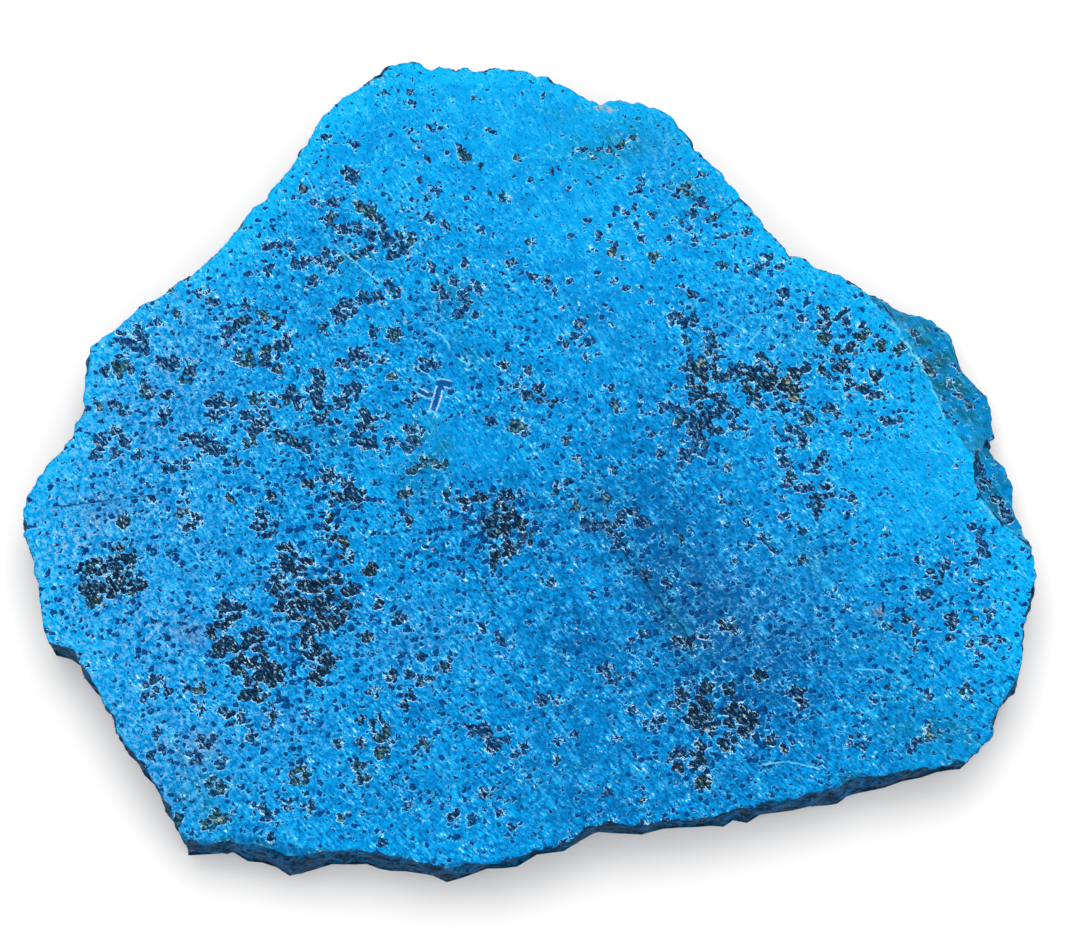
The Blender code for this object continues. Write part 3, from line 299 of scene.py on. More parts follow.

# Bright marks in the sawn face, pale lines and painted highlights along ridges and beside the glassy
# marks: a width, then the points that the mark runs through.
PALE_MARKS = (
    (0.25, ((31.0, 12.8), (31.9, 11.2), (32.5, 10.0), (33.2, 9.2))),
    (0.16, ((34.0, 7.5), (34.5, 6.0), (34.8, 4.8))),
    (0.3, ((38.0, -3.0), (39.2, -4.3), (40.4, -5.1), (41.5, -6.2))),
    (0.16, ((-8.2, 12.2), (-7.3, 11.7), (-6.9, 11.1), (-6.7, 10.4), (-6.2, 9.9), (-5.5, 9.4))),
    (0.26, ((-8.2, 5.0), (-7.9, 4.9))),
    (0.12, ((-9.5, 9.0), (-8.2, 8.0))),
    (0.1, ((-9.3, 6.6), (-8.8, 6.2), (-8.3, 6.2))),
    (0.14, ((-16.3, 19.5), (-13.0, 16.7))),
    (0.12, ((-18.9, 25.6), (-18.2, 24.2))),
    (0.1, ((-10.6, 25.3), (-10.3, 24.8))),
    (0.1, ((16.0, 13.4), (17.0, 12.8), (18.0, 12.3))),
    (0.1, ((18.5, 11.0), (19.5, 12.2))),
    (0.14, ((19.0, -25.1), (20.2, -24.9), (21.5, -24.8), (22.6, -25.1), (23.5, -25.3))),
    (0.12, ((27.4, -17.0), (29.0, -17.1))),
    (0.1, ((34.0, 1.7), (34.8, 1.5))),
)

# Thin dark cracks in the sawn face, written the same way.
DARK_MARKS = (
    (0.16, ((-39.7, -3.2), (-30.4, -2.0))),
    (0.2, ((-5.0, -8.0), (-3.0, -11.3))),
    (0.16, ((-27.2, 16.0), (-25.6, 13.2))),
    (0.2, ((16.2, 22.5), (18.0, 24.0))),
    (0.2, ((7.8, -7.0), (9.2, -9.2), (11.0, -11.3), (13.0, -13.8), (13.5, -15.5))),
    (0.16, ((13.3, 12.6), (14.3, 11.7))),
    (0.16, ((37.8, -19.6), (38.9, -20.3))),
    (0.14, ((12.0, 4.0), (11.9, 2.8))),
)

# Blue glassy marks, written the same way.
BLUE_MARKS = (
    (0.48, ((-7.5, 7.3), (-7.75, 6.3), (-8.05, 5.4))),
    (0.5, ((-7.5, 7.6), (-6.8, 7.45))),
    (0.4, ((-9.05, 6.75), (-8.8, 6.62))),
)


class Face(Enum):
    """The three kinds of surface on the slab."""

    SAWN = 0
    SIDE = 1
    UNDER = 2


@dataclass(frozen=True)
class Zone:
    """A soft oval area of the sawn face: its middle, half sizes, turn and strength."""

    x: float
    y: float
    along: float
    across: float
    turn: float
    amount: float

    def cover(self, points: np.ndarray) -> np.ndarray:
        """Strength of the zone at each point.

        Args:
            points: x and y of each point, in marking millimetres.

        Returns:
            One number for each point, which falls off softly from the middle.
        """
        turn = math.radians(self.turn)
        offset = points - np.array((self.x, self.y))
        forward = (offset[:, 0] * math.cos(turn) + offset[:, 1] * math.sin(turn)) / self.along
        sideways = (offset[:, 1] * math.cos(turn) - offset[:, 0] * math.sin(turn)) / self.across
        return self.amount * np.exp(-(forward ** 2 + sideways ** 2))


def zone_rows(*rows: tuple) -> tuple[Zone, ...]:
    """Zones from their numbers: x, y, the half sizes along and across, the turn, the strength."""
    return tuple(Zone(*row) for row in rows)


# Soft areas of the sawn face, by what they change.
SPECKLED_ZONES = zone_rows(
    (-34.5, -9.0, 5.0, 5.0, 0.0, 0.75), (-17.5, -11.5, 3.5, 4.0, 0.0, 0.8),
    (-17.0, -8.0, 6.0, 9.0, 0.0, 0.6), (-24.0, -16.0, 6.5, 3.5, -40.0, 0.7),
    (-2.5, -5.0, 4.0, 3.5, 0.0, 1.5), (-6.5, -4.0, 5.0, 4.0, 0.0, 0.4),
    (9.0, -8.0, 9.0, 3.0, -60.0, 0.5), (16.5, -21.5, 4.5, 3.0, -30.0, 1.0),
    (17.0, -18.0, 8.0, 5.0, -60.0, 0.5), (14.0, -25.5, 3.5, 3.0, 0.0, 0.7),
    (22.0, -16.5, 4.0, 4.0, 0.0, 0.4), (14.8, 6.5, 2.0, 5.0, 0.0, 0.7), (20.0, 7.7, 3.0, 1.8, 0.0, 0.8),
    (24.5, -2.5, 4.0, 3.0, 0.0, 0.5), (-22.0, 4.0, 15.0, 12.0, 0.0, 0.35),
    (-16.0, -20.0, 18.0, 9.0, 0.0, 0.35), (-15.0, 21.0, 7.0, 6.0, 0.0, 0.4),
    (34.0, -11.0, 6.0, 6.0, 0.0, 0.6), (0.5, 6.5, 4.0, 3.0, 0.0, 0.5), (12.0, 20.0, 9.0, 6.0, 0.0, 0.2),
    (27.0, 8.0, 6.0, 7.0, 0.0, 0.7), (3.0, 27.0, 12.0, 5.0, 0.0, -0.2),
    (7.0, 14.0, 4.5, 6.0, 0.0, -0.35), (33.0, 1.0, 6.0, 6.0, 0.0, -0.3),
    (-6.0, 1.5, 3.5, 2.0, 0.0, -0.35), (-25.0, 20.0, 6.0, 5.0, 45.0, -0.2),
)
# Bright zones are lighter stone, and painted light in strips along the rim and over the top of the face,
# toward the lamp.
BRIGHT_ZONES = zone_rows(
    (-24.5, 21.5, 7.5, 2.2, 48.0, 0.9), (-16.5, 31.5, 6.0, 2.0, 48.0, 0.8),
    (-5.0, 35.0, 7.0, 1.3, -4.0, 1.0), (-39.2, 4.0, 5.0, 1.6, 70.0, 0.7),
    (-40.3, -12.0, 3.0, 1.2, 80.0, 0.8), (-30.0, -10.0, 2.5, 2.5, 0.0, 0.4),
    (32.0, 0.0, 8.0, 6.0, 0.0, 0.6), (40.5, -11.5, 7.0, 1.8, 90.0, 0.7),
    (20.0, 21.5, 4.5, 2.0, -50.0, 0.6), (5.0, -9.6, 1.0, 1.0, 0.0, 1.2),
    (5.0, -11.5, 0.6, 0.6, 0.0, 0.8), (-13.0, -2.2, 1.0, 1.2, 0.0, 0.8), (-4.0, 1.5, 6.0, 2.0, 0.0, 0.5),
    (6.0, 22.0, 6.0, 5.0, 0.0, 0.3), (1.0, 29.0, 20.0, 12.0, 0.0, 0.5),
    (25.0, 10.0, 13.0, 8.0, 0.0, 0.6), (-41.0, 0.0, 7.0, 12.0, 0.0, 0.5),
    (34.0, -26.0, 6.0, 6.0, 0.0, 0.3),
)
DEEP_ZONES = zone_rows(
    (9.0, -7.0, 17.0, 20.0, 0.0, 0.7), (10.0, -21.0, 20.0, 12.0, 0.0, 0.6),
    (15.0, -12.0, 17.0, 6.0, -48.0, 0.5), (4.0, 14.0, 3.0, 5.0, 0.0, 0.3),
    (5.0, -13.5, 2.2, 2.0, 0.0, 0.7), (3.5, -25.0, 2.5, 4.0, 0.0, 0.5),
    (13.0, -11.0, 9.5, 3.6, -62.0, 0.9), (20.0, -15.0, 6.0, 4.5, -40.0, 0.8),
    (7.0, -29.0, 3.0, 1.5, 0.0, 0.7), (14.0, -26.0, 2.5, 2.0, 0.0, 0.6),
    (15.0, -2.5, 5.0, 4.0, 0.0, 0.3), (-3.0, -6.0, 5.0, 5.0, 0.0, 0.4),
    (-19.0, -12.0, 5.0, 6.0, 0.0, 0.4), (-35.0, -9.5, 3.5, 3.0, 0.0, 0.5),
    (26.0, -22.0, 8.0, 3.0, -10.0, 0.3),
)
TEAL_ZONES = zone_rows(
    (-15.0, 19.0, 3.5, 2.5, 0.0, 0.5), (-6.0, 15.2, 2.2, 1.8, 0.0, 0.9), (7.5, 28.7, 4.5, 2.0, 8.0, 1.0),
    (14.0, 24.5, 2.5, 2.0, 0.0, 0.6), (23.5, -7.5, 3.5, 2.5, 0.0, 0.5),
    (29.0, -15.0, 4.0, 3.5, 0.0, 0.4), (-16.5, 3.2, 3.0, 1.6, -20.0, 0.7),
    (-8.0, 2.0, 1.6, 2.4, 20.0, 1.1), (33.5, -22.5, 4.0, 2.6, -5.0, 1.0),
    (-27.0, -27.5, 3.5, 3.0, 0.0, 0.6), (34.0, 10.0, 4.0, 2.5, -60.0, 0.8),
    (11.5, -12.5, 6.0, 1.2, -57.0, 0.7), (-5.5, 10.5, 2.0, 1.4, -40.0, 0.6),
    (3.0, 31.5, 2.0, 1.2, 0.0, 0.5), (23.0, 9.5, 4.0, 4.0, 0.0, 0.25), (-9.5, -1.0, 2.0, 2.0, 0.0, 0.6),
    (5.0, -2.5, 2.5, 2.0, 0.0, 0.5),
)
# Hazy zones: a whitish haze where the face is dry, partly its own pale frosting and partly painted sheen.
HAZY_SHEEN_ZONES = zone_rows(
    (-31.5, 7.5, 7.0, 8.0, 0.0, 0.6), (-35.0, -10.0, 10.0, 20.0, 0.0, 0.8),
    (-38.0, -6.0, 3.0, 2.2, 0.0, 1.1), (-30.5, -13.5, 3.0, 2.0, 0.0, 0.8),
    (-29.5, -24.0, 5.5, 4.5, 0.0, 0.7), (-19.5, -22.0, 3.0, 2.5, 0.0, 0.6),
    (-10.0, -14.5, 5.0, 3.0, 0.0, 0.6), (11.4, 27.5, 0.9, 2.0, 0.0, 0.7),
    (18.0, -12.0, 7.0, 5.0, 0.0, 0.35), (20.0, 12.0, 4.0, 4.0, 0.0, 0.25),
    (-29.5, 12.5, 2.5, 3.5, 0.0, 0.5),
)
BROWN_ZONES = zone_rows(
    (-28.0, -14.0, 1.6, 1.2, 0.0, 0.6), (-27.0, -23.5, 2.0, 1.5, 0.0, 0.5),
    (-35.5, -3.5, 2.0, 1.5, 0.0, 0.6), (29.0, -12.2, 0.5, 0.4, 0.0, 1.0),
    (-36.2, 5.5, 0.6, 0.4, 0.0, 0.9), (7.0, 19.1, 0.5, 0.4, 0.0, 1.2),
)
SMOOTH_ZONES = zone_rows(
    (-2.0, 31.0, 20.0, 6.0, 0.0, 0.6), (30.0, -4.0, 9.0, 9.0, 0.0, 0.35),
    (12.0, -3.0, 8.0, 9.0, 0.0, 0.3), (7.0, 14.0, 5.0, 6.0, 0.0, 0.8), (-5.0, 2.0, 5.0, 3.0, 0.0, 0.8),
    (4.0, 22.0, 6.0, 4.0, 0.0, 0.5), (33.0, 1.0, 5.0, 5.0, 0.0, 0.5), (3.0, -24.0, 4.0, 5.0, 0.0, 0.5),
    (13.5, 20.0, 4.0, 3.0, 0.0, 0.3), (2.0, 29.0, 18.0, 11.0, 0.0, 0.4),
)


def segment_distance(points: np.ndarray, start: tuple, end: tuple) -> np.ndarray:
    """Distance from each point to a straight segment.

    Args:
        points: x and y of each point.
        start: one end of the segment.
        end: its other end.

    Returns:
        One distance for each point, in the points' own units.
    """
    start_point = np.array(start)
    span = np.array(end) - start_point
    share = np.clip((points - start_point) @ span / (span @ span), 0.0, 1.0)
    return np.linalg.norm(points - start_point - share[:, None] * span, axis=1)


@dataclass
class Markings:
    """Turns the patches, veins and zones into one number for each point of the sawn face."""

    snap_below: float = 0.62
    blend: float = 9.0
    far: float = 3.0
    cloud_depth: float = 0.25
    cloud_fade: float = 0.7
    cloud_ratio: float = 2.0
    medium_cloud: tuple = (0.7, 2)
    broad_cloud: tuple = (0.13, 3)

    def patch_distance(self, points: np.ndarray, patches: tuple, veins: tuple = ()) -> np.ndarray:
        """Signed distance to the edge of the nearest patch, with close patches run together.

        Args:
            points: x and y of each point, in marking millimetres.
            patches: x, y and width of each patch.
            veins: a width and a run of points for each vein.

        Returns:
            Millimetres for each point, below zero inside a patch.
        """
        nearness = np.full(len(points), math.exp(-self.blend * self.far))
        for x, y, width in patches:
            offset = points - np.array((x, y))
            reach = np.hypot(offset[:, 0], offset[:, 1])
            if width < self.snap_below:
                closest = int(np.argmin(reach))
                offset = points - points[closest]
                reach = np.hypot(offset[:, 0], offset[:, 1])
            nearness += np.exp(-self.blend * np.minimum(reach - width / 2, self.far))
        for width, run in veins:
            for start, end in zip(run, run[1:]):
                reach = segment_distance(points, start, end)
                nearness += np.exp(-self.blend * np.minimum(reach - width / 2, self.far))
        return -np.log(nearness) / self.blend

    def line_fields(self, points: np.ndarray, marks: tuple) -> tuple[np.ndarray, np.ndarray]:
        """Where each point lies beside the nearest thin mark.

        Args:
            points: x and y of each point, in marking millimetres.
            marks: a width and a run of points for each mark.

        Returns:
            The signed distance across the nearest mark, in half widths, and the plain
            distance to it in millimetres.
        """
        across = np.full(len(points), self.far)
        away = np.full(len(points), self.far)
        for width, run in marks:
            for start, end in zip(run, run[1:]):
                reach = segment_distance(points, start, end)
                span = np.array(end) - np.array(start)
                offset = points - np.array(start)
                side = (span[0] * offset[:, 1] - span[1] * offset[:, 0]) / np.linalg.norm(span)
                nearest = reach < away
                across[nearest] = side[nearest] / (width / 2)
                away[nearest] = reach[nearest]
        return across, away

    def cover(self, points: np.ndarray, zones: tuple) -> np.ndarray:
        """Sum of the zones at each point."""
        return sum(zone.cover(points) for zone in zones)

    def cloud(self, points: np.ndarray, scale: float, octaves: int) -> np.ndarray:
        """Make cloudy noise.

        Args:
            points: x and y of each point, in marking millimetres.
            scale: how many lumps there are to the millimetre.
            octaves: how many layers of detail are added up.

        Returns:
            One number for each point, between about 0.2 and 0.8.
        """
        levels = [
            noise.fractal(Vector((x, y, 0.0)) * scale, self.cloud_fade, self.cloud_ratio, octaves)
            for x, y in points.tolist()
        ]
        return NOISE_MIDDLE + self.cloud_depth * np.array(levels)

    def fields(self, points: np.ndarray) -> dict[str, np.ndarray]:
        """Make every field that the finishes read.

        Args:
            points: x and y of each point, in marking millimetres.

        Returns:
            One number for each point, by the name of the mesh's attribute.
        """
        lines = {}
        for name, marks in (("dark", DARK_MARKS), ("blue", BLUE_MARKS), ("pale", PALE_MARKS)):
            lines[name + "_across"], lines[name + "_away"] = self.line_fields(points, marks)
        return lines | {
            "medium": self.cloud(points, *self.medium_cloud),
            "broad": self.cloud(points, *self.broad_cloud),
            "matrix": self.patch_distance(points, BLACK_MATRIX, MATRIX_VEINS),
            "olive": self.patch_distance(points, OLIVE_MATRIX),
            "cream": self.patch_distance(points, CREAM_SPOTS),
            "cyan_and_glint": self.patch_distance(points, CYAN_SPOTS_AND_GLINTS),
            "speckled": self.cover(points, SPECKLED_ZONES),
            "bright": self.cover(points, BRIGHT_ZONES),
            "deep": self.cover(points, DEEP_ZONES),
            "teal": self.cover(points, TEAL_ZONES),
            "hazy_sheen": self.cover(points, HAZY_SHEEN_ZONES),
            "brown": self.cover(points, BROWN_ZONES),
            "smooth": self.cover(points, SMOOTH_ZONES),
        }


@dataclass(frozen=True)
class Lumps:
    """Cloudy relief: the length of its largest lumps in metres, and how finer ones add to them."""

    length: float
    fade: float
    layers: int
    ratio: float = 2.0

    def at(self, place: Vector) -> float:
        """The relief at a place, between about -1 and 1."""
        return noise.fractal(place / self.length, self.fade, self.ratio, self.layers)


@dataclass
class StoneSurface:
    """The slab's fine surface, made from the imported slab's own mesh. Lengths are in metres."""

    cuts: int = 4
    weld: float = 1e-6
    level_drop: float = 0.00022
    pit_faces: int = 90
    bevel_slope: float = 0.55
    bevel_deep: float = 0.7
    bevel_teal: float = 0.9
    bevel_smooth: float = 0.5
    side_smoothing: int = 3
    side_pull: float = 0.5
    rim_pull: float = 0.25
    side_relief: float = 0.00016
    side_grain: Lumps = Lumps(0.0009, 0.8, 3)
    fine_relief: float = 0.00007
    fine_grain: Lumps = Lumps(0.00035, 0.9, 2)
    lump_relief: float = 0.00034
    side_lumps: Lumps = Lumps(0.0023, 0.8, 2)
    side_inset: float = 0.5
    edge_chip: float = 0.00028
    edge_chip_length: float = 0.0013
    chip_share: float = 0.5
    edge_width: float = 0.0005
    pit_relief: float = 0.00003
    pit_keep: float = 0.35
    pluck_reach: float = 0.25
    pluck_start: float = 0.3
    pluck_depth: float = 0.7
    pluck_rough: float = 0.6
    plain_relief: float = 0.000012
    bevel_layer: str = "bevel"
    # Painted rim light: how strongly and how close to the rim the sawn face is brightened, and where it
    # fades out toward the lower side.
    painted_rim_light: float = 1.1
    painted_rim_light_width: float = 0.0028
    painted_rim_light_from: float = -0.026
    painted_rim_light_rise: float = 0.01
    markings: Markings = field(default_factory=Markings)

    def build(self) -> bpy.types.Object:
        """Make the surface as one object.

        Returns:
            The new object, linked to the scene and carrying its fields as attributes.
        """
        mesh = bmesh.new()
        mesh.from_mesh(bpy.data.objects[NODE_NAME].data)
        bmesh.ops.remove_doubles(mesh, verts=mesh.verts[:], dist=self.weld)
        mesh.normal_update()
        self.sort_faces(mesh)
        bmesh.ops.subdivide_edges(mesh, edges=mesh.edges[:], cuts=self.cuts, use_grid_fill=True)
        mesh.verts.ensure_lookup_table()
        self.round_side(mesh)
        points = np.array([vert.co for vert in mesh.verts])
        rim = self.rim_distance(mesh)
        faces_down = np.array([self.touches(vert, Face.UNDER) for vert in mesh.verts])
        sawn = np.array([self.touches(vert, Face.SAWN) for vert in mesh.verts])
        fields = self.markings.fields(points[:, :2] / MM + np.array(MARKING_ORIGIN))
        self.roughen(mesh, rim, sawn, faces_down, fields["matrix"])
        bevel = self.dress_bevels(mesh) & ~sawn
        fields["deep"] += self.bevel_deep * bevel
        fields["teal"] += self.bevel_teal * bevel
        fields["smooth"] += self.bevel_smooth * bevel
        data = bpy.data.meshes.new("slab_stone")
        mesh.to_mesh(data)
        mesh.free()
        # Painted rim light: brighten the sawn face near its rim, except along the lower side that faces
        # away from the lamp.
        upper = np.clip((points[:, 1] - self.painted_rim_light_from) / self.painted_rim_light_rise, 0.0, 1.0)
        fields["bright"] += self.painted_rim_light * upper * np.exp(-rim / self.painted_rim_light_width)
        for name, values in fields.items():
            layer = data.attributes.new(name, "FLOAT", "POINT")
            layer.data.foreach_set("value", values.astype(np.float32))
        data.shade_smooth()
        stone = bpy.data.objects.new("slab_stone", data)
        bpy.context.scene.collection.objects.link(stone)
        return stone

    def sort_faces(self, mesh: bmesh.types.BMesh) -> None:
        """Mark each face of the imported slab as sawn, side or underside, by its material number.

        A face is sawn if it is level with the top, or lies in a small pit that such faces close in.

        Args:
            mesh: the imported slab's own mesh, changed in place.
        """
        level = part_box(NODE_NAME)[1][2] - self.level_drop
        rest = set()
        for face in mesh.faces:
            if max(vert.co.z for vert in face.verts) < self.level_drop:
                face.material_index = Face.UNDER.value
            elif min(vert.co.z for vert in face.verts) > level:
                face.material_index = Face.SAWN.value
            else:
                rest.add(face)
        while rest:
            patch = [rest.pop()]
            for face in patch:
                for edge in face.edges:
                    joined = [other for other in edge.link_faces if other in rest]
                    rest.difference_update(joined)
                    patch.extend(joined)
            kind = Face.SAWN if len(patch) < self.pit_faces else Face.SIDE
            for face in patch:
                face.material_index = kind.value
        bevels = mesh.faces.layers.int.new(self.bevel_layer)
        for face in mesh.faces:
            face[bevels] = face.material_index == Face.SIDE.value and face.normal.z > self.bevel_slope

    def dress_bevels(self, mesh: bmesh.types.BMesh) -> np.ndarray:
        """Give the gently sloping parts of the side the look of the sawn face.

        Args:
            mesh: the fine mesh, changed in place.

        Returns:
            Whether each vertex lies on such a part.
        """
        bevels = mesh.faces.layers.int[self.bevel_layer]
        for face in mesh.faces:
            if face[bevels]:
                face.material_index = Face.SAWN.value
        found = np.array([any(face[bevels] for face in vert.link_faces) for vert in mesh.verts])
        mesh.faces.layers.int.remove(bevels)
        return found

    def touches(self, vert: bmesh.types.BMVert, kind: Face) -> bool:
        """Whether a vertex lies on a face of the given kind."""
        return any(face.material_index == kind.value for face in vert.link_faces)

    def round_side(self, mesh: bmesh.types.BMesh) -> None:
        """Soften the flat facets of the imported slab's side, and the corners of its outline.

        Args:
            mesh: the fine mesh, changed in place.
        """
        side = [vert for vert in mesh.verts if self.touches(vert, Face.SIDE)]
        free = [vert for vert in side if not self.touches(vert, Face.UNDER)]
        for _ in range(self.side_smoothing):
            moved = {}
            for vert in free:
                around = [edge.other_vert(vert) for edge in vert.link_edges]
                share = self.side_pull
                if self.touches(vert, Face.SAWN):
                    around = [other for other in around if self.on_rim(other)]
                    share = self.rim_pull
                middle = sum((other.co for other in around), Vector()) / max(1, len(around))
                moved[vert] = vert.co.lerp(middle, share) if around else vert.co.copy()
            for vert, place in moved.items():
                vert.co = place

    def on_rim(self, vert: bmesh.types.BMVert) -> bool:
        """Whether a vertex lies where the sawn face meets the side."""
        return self.touches(vert, Face.SAWN) and self.touches(vert, Face.SIDE)

    def rim_distance(self, mesh: bmesh.types.BMesh) -> np.ndarray:
        """Measure how far each vertex is from the edge of the sawn face.

        Args:
            mesh: the fine mesh.

        Returns:
            Metres for each vertex.
        """
        rim = [vert for vert in mesh.verts if self.on_rim(vert)]
        tree = kdtree.KDTree(len(rim))
        for index, vert in enumerate(rim):
            tree.insert(vert.co, index)
        tree.balance()
        return np.array([tree.find(vert.co)[2] for vert in mesh.verts])

    def roughen(
        self, mesh: bmesh.types.BMesh, rim: np.ndarray, sawn: np.ndarray, under: np.ndarray,
        matrix: np.ndarray,
    ) -> None:
        """Give the side its broken grain, the edge its chips and the sawn face its pits.

        Args:
            mesh: the fine mesh, changed in place.
            rim: distance of each vertex to the edge of the sawn face.
            sawn: whether each vertex lies on the sawn face.
            under: whether each vertex lies on the underside.
            matrix: distance of each vertex to the dark matrix, in millimetres.
        """
        mesh.normal_update()
        low = Vector(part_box(NODE_NAME)[0])
        high = Vector(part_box(NODE_NAME)[1])
        level = high.z - self.level_drop / 2
        moves = []
        for index, vert in enumerate(mesh.verts):
            if under[index]:
                moves.append(Vector())
                continue
            place = vert.co
            coarse = self.side_grain.at(place)
            fine = self.fine_grain.at(place)
            closeness = math.exp(-rim[index] / self.edge_width)
            nearest = noise.voronoi(place / self.edge_chip_length)[0][0]
            chip = max(0.0, 1.0 - (nearest / self.chip_share) ** 2)
            if sawn[index]:
                plucked = min(1.0, max(0.0, self.pluck_start - matrix[index] / self.pluck_reach))
                drop = self.pit_relief * plucked * (self.pluck_depth + self.pluck_rough * coarse)
                drop += self.plain_relief * fine + self.edge_chip * closeness * chip
                filled = max(0.0, level - place.z) * (1.0 - self.pit_keep)
                move = Vector((0.0, 0.0, filled - drop))
                if self.on_rim(vert):
                    flat = Vector((vert.normal.x, vert.normal.y, 0.0)).normalized()
                    move += flat * (self.side_relief * (coarse - self.side_inset) - self.edge_chip * chip)
            else:
                lump = (1.0 - closeness) * (self.side_lumps.at(place) - self.side_inset)
                rise = self.side_relief * (coarse - self.side_inset) + self.lump_relief * lump
                rise += self.fine_relief * (fine - self.side_inset) - self.edge_chip * closeness * chip
                move = vert.normal * rise
            moves.append(move)
        for vert, move in zip(mesh.verts, moves):
            moved = vert.co + move
            for axis in range(3):
                moved[axis] = min(high[axis], max(low[axis], moved[axis]))
            vert.co = moved


Socket = bpy.types.NodeSocket

# What a node's input can be given: a socket, a number, or the numbers of a vector or a colour.
Value = Socket | float | tuple


@dataclass(frozen=True)
class Ramp:
    """A straight ramp: the range of numbers that it reads, and the range that it gives."""

    low: Value
    high: Value
    to_low: Value = 0.0
    to_high: Value = 1.0


@dataclass(frozen=True)
class Cloud:
    """A cloudy texture: lumps to the millimetre, layers of detail, and how strong the layers are."""

    scale: Value
    detail: float
    roughness: float


class Wiring:
    """Adds nodes to one node tree and joins them, a short call for each."""

    # Where Blender keeps the colours among the sockets of its mix node.
    mix_base: int = 6
    mix_layer: int = 7
    mix_result: int = 2

    def __init__(self, tree: bpy.types.NodeTree, flat: bool) -> None:
        """Work on the given tree.

        Args:
            tree: the tree that the nodes go into.
            flat: whether its textures vary only across the sawn face, which is quicker to draw.
        """
        self.tree = tree
        self.span = "2D" if flat else "3D"

    def node(self, kind: str, inputs: dict | None = None, **settings: object) -> bpy.types.Node:
        """Add a node.

        Args:
            kind: Blender's name for the node's type.
            inputs: a socket or a plain value for each named or numbered input.
            settings: the node's own options.

        Returns:
            The new node.
        """
        made = self.tree.nodes.new(kind)
        for name, value in settings.items():
            setattr(made, name, value)
        for key, value in (inputs or {}).items():
            self.feed(made.inputs[key], value)
        return made

    def feed(self, target: Socket, value: Value) -> None:
        """Give an input its value.

        Args:
            target: the input.
            value: the socket to join to it, or the plain value to set it to.
        """
        if isinstance(value, Socket):
            self.tree.links.new(value, target)
        else:
            target.default_value = value

    def math(self, operation: str, *values: Value) -> Socket:
        """One step of arithmetic on one, two or three numbers."""
        return self.node("ShaderNodeMath", dict(enumerate(values)), operation=operation).outputs[0]

    def times(self, first: Value, second: Value) -> Socket:
        """The product of two numbers."""
        return self.math("MULTIPLY", first, second)

    def add_part(self, value: Value, share: Value, base: Value) -> Socket:
        """A base with a share of a number added to it."""
        return self.math("MULTIPLY_ADD", value, share, base)

    def vector(self, operation: str, *values: Value) -> bpy.types.Node:
        """One step of arithmetic on vectors, as a node."""
        return self.node("ShaderNodeVectorMath", dict(enumerate(values)), operation=operation)

    def remap(self, value: Value, ramp: Ramp) -> Socket:
        """Move a number from one range to another and keep it inside the new one.

        Args:
            value: the number.
            ramp: the two ranges.

        Returns:
            The number in the new range.
        """
        inputs = {
            "Value": value, "From Min": ramp.low, "From Max": ramp.high, "To Min": ramp.to_low,
            "To Max": ramp.to_high,
        }
        return self.node("ShaderNodeMapRange", inputs, clamp=True).outputs["Result"]

    def tint(self, share: Value, base: Value, layer: Value) -> Socket:
        """Lay a colour over another.

        Args:
            share: how much of the layer shows, from 0 to 1.
            base: the colour below.
            layer: the colour above.

        Returns:
            The mixed colour.
        """
        inputs = {"Factor": share, self.mix_base: base, self.mix_layer: layer}
        made = self.node("ShaderNodeMix", data_type="RGBA", clamp_factor=True)
        for key, value in inputs.items():
            self.feed(made.inputs[key], value)
        return made.outputs[self.mix_result]

    def noise(self, place: Socket, cloud: Cloud) -> Socket:
        """Cloudy noise between 0 and 1.

        Args:
            place: where the texture is read, in millimetres.
            cloud: the texture's settings.

        Returns:
            The noise.
        """
        inputs = {
            "Vector": place, "Scale": cloud.scale, "Detail": cloud.detail, "Roughness": cloud.roughness,
        }
        return self.node("ShaderNodeTexNoise", inputs, noise_dimensions=self.span).outputs["Fac"]

    def cells(self, place: Socket, scale: Value) -> bpy.types.Node:
        """Random cells round scattered points: a Voronoi node."""
        inputs = {"Vector": place, "Scale": scale}
        return self.node("ShaderNodeTexVoronoi", inputs, voronoi_dimensions=self.span)

    def field(self, name: str) -> Socket:
        """A number that the mesh carries at each point."""
        return self.node("ShaderNodeAttribute", attribute_name=name).outputs["Fac"]

    def group(self, tree: bpy.types.NodeTree, **inputs: Value) -> bpy.types.Node:
        """Place a node group, with its inputs given by name."""
        named = {name.capitalize(): value for name, value in inputs.items()}
        return self.node("ShaderNodeGroup", named, node_tree=tree)


class Effect:
    """A shader node group under construction, with named inputs and outputs."""

    def __init__(self, name: str, inputs: dict[str, object], outputs: dict[str, str]) -> None:
        """Start the group.

        Args:
            name: the group's name.
            inputs: each input's name and its usual value; a tuple of three is a vector.
            outputs: each output's name and its socket type.
        """
        self.tree = bpy.data.node_groups.new(name, "ShaderNodeTree")
        for label, value in inputs.items():
            kind = "NodeSocketVector" if isinstance(value, tuple) else "NodeSocketFloat"
            socket = self.tree.interface.new_socket(label, in_out="INPUT", socket_type=kind)
            socket.default_value = value
        for label, kind in outputs.items():
            self.tree.interface.new_socket(label, in_out="OUTPUT", socket_type=kind)
        self.wires = Wiring(self.tree, flat=True)
        self.given = self.wires.node("NodeGroupInput").outputs
        self.result = self.wires.node("NodeGroupOutput").inputs

    def give(self, **values: Value) -> bpy.types.NodeTree:
        """Join the results to the group's outputs.

        Args:
            values: the socket for each output, by the output's name.

        Returns:
            The finished group.
        """
        for name, value in values.items():
            self.wires.feed(self.result[name.capitalize()], value)
        return self.tree


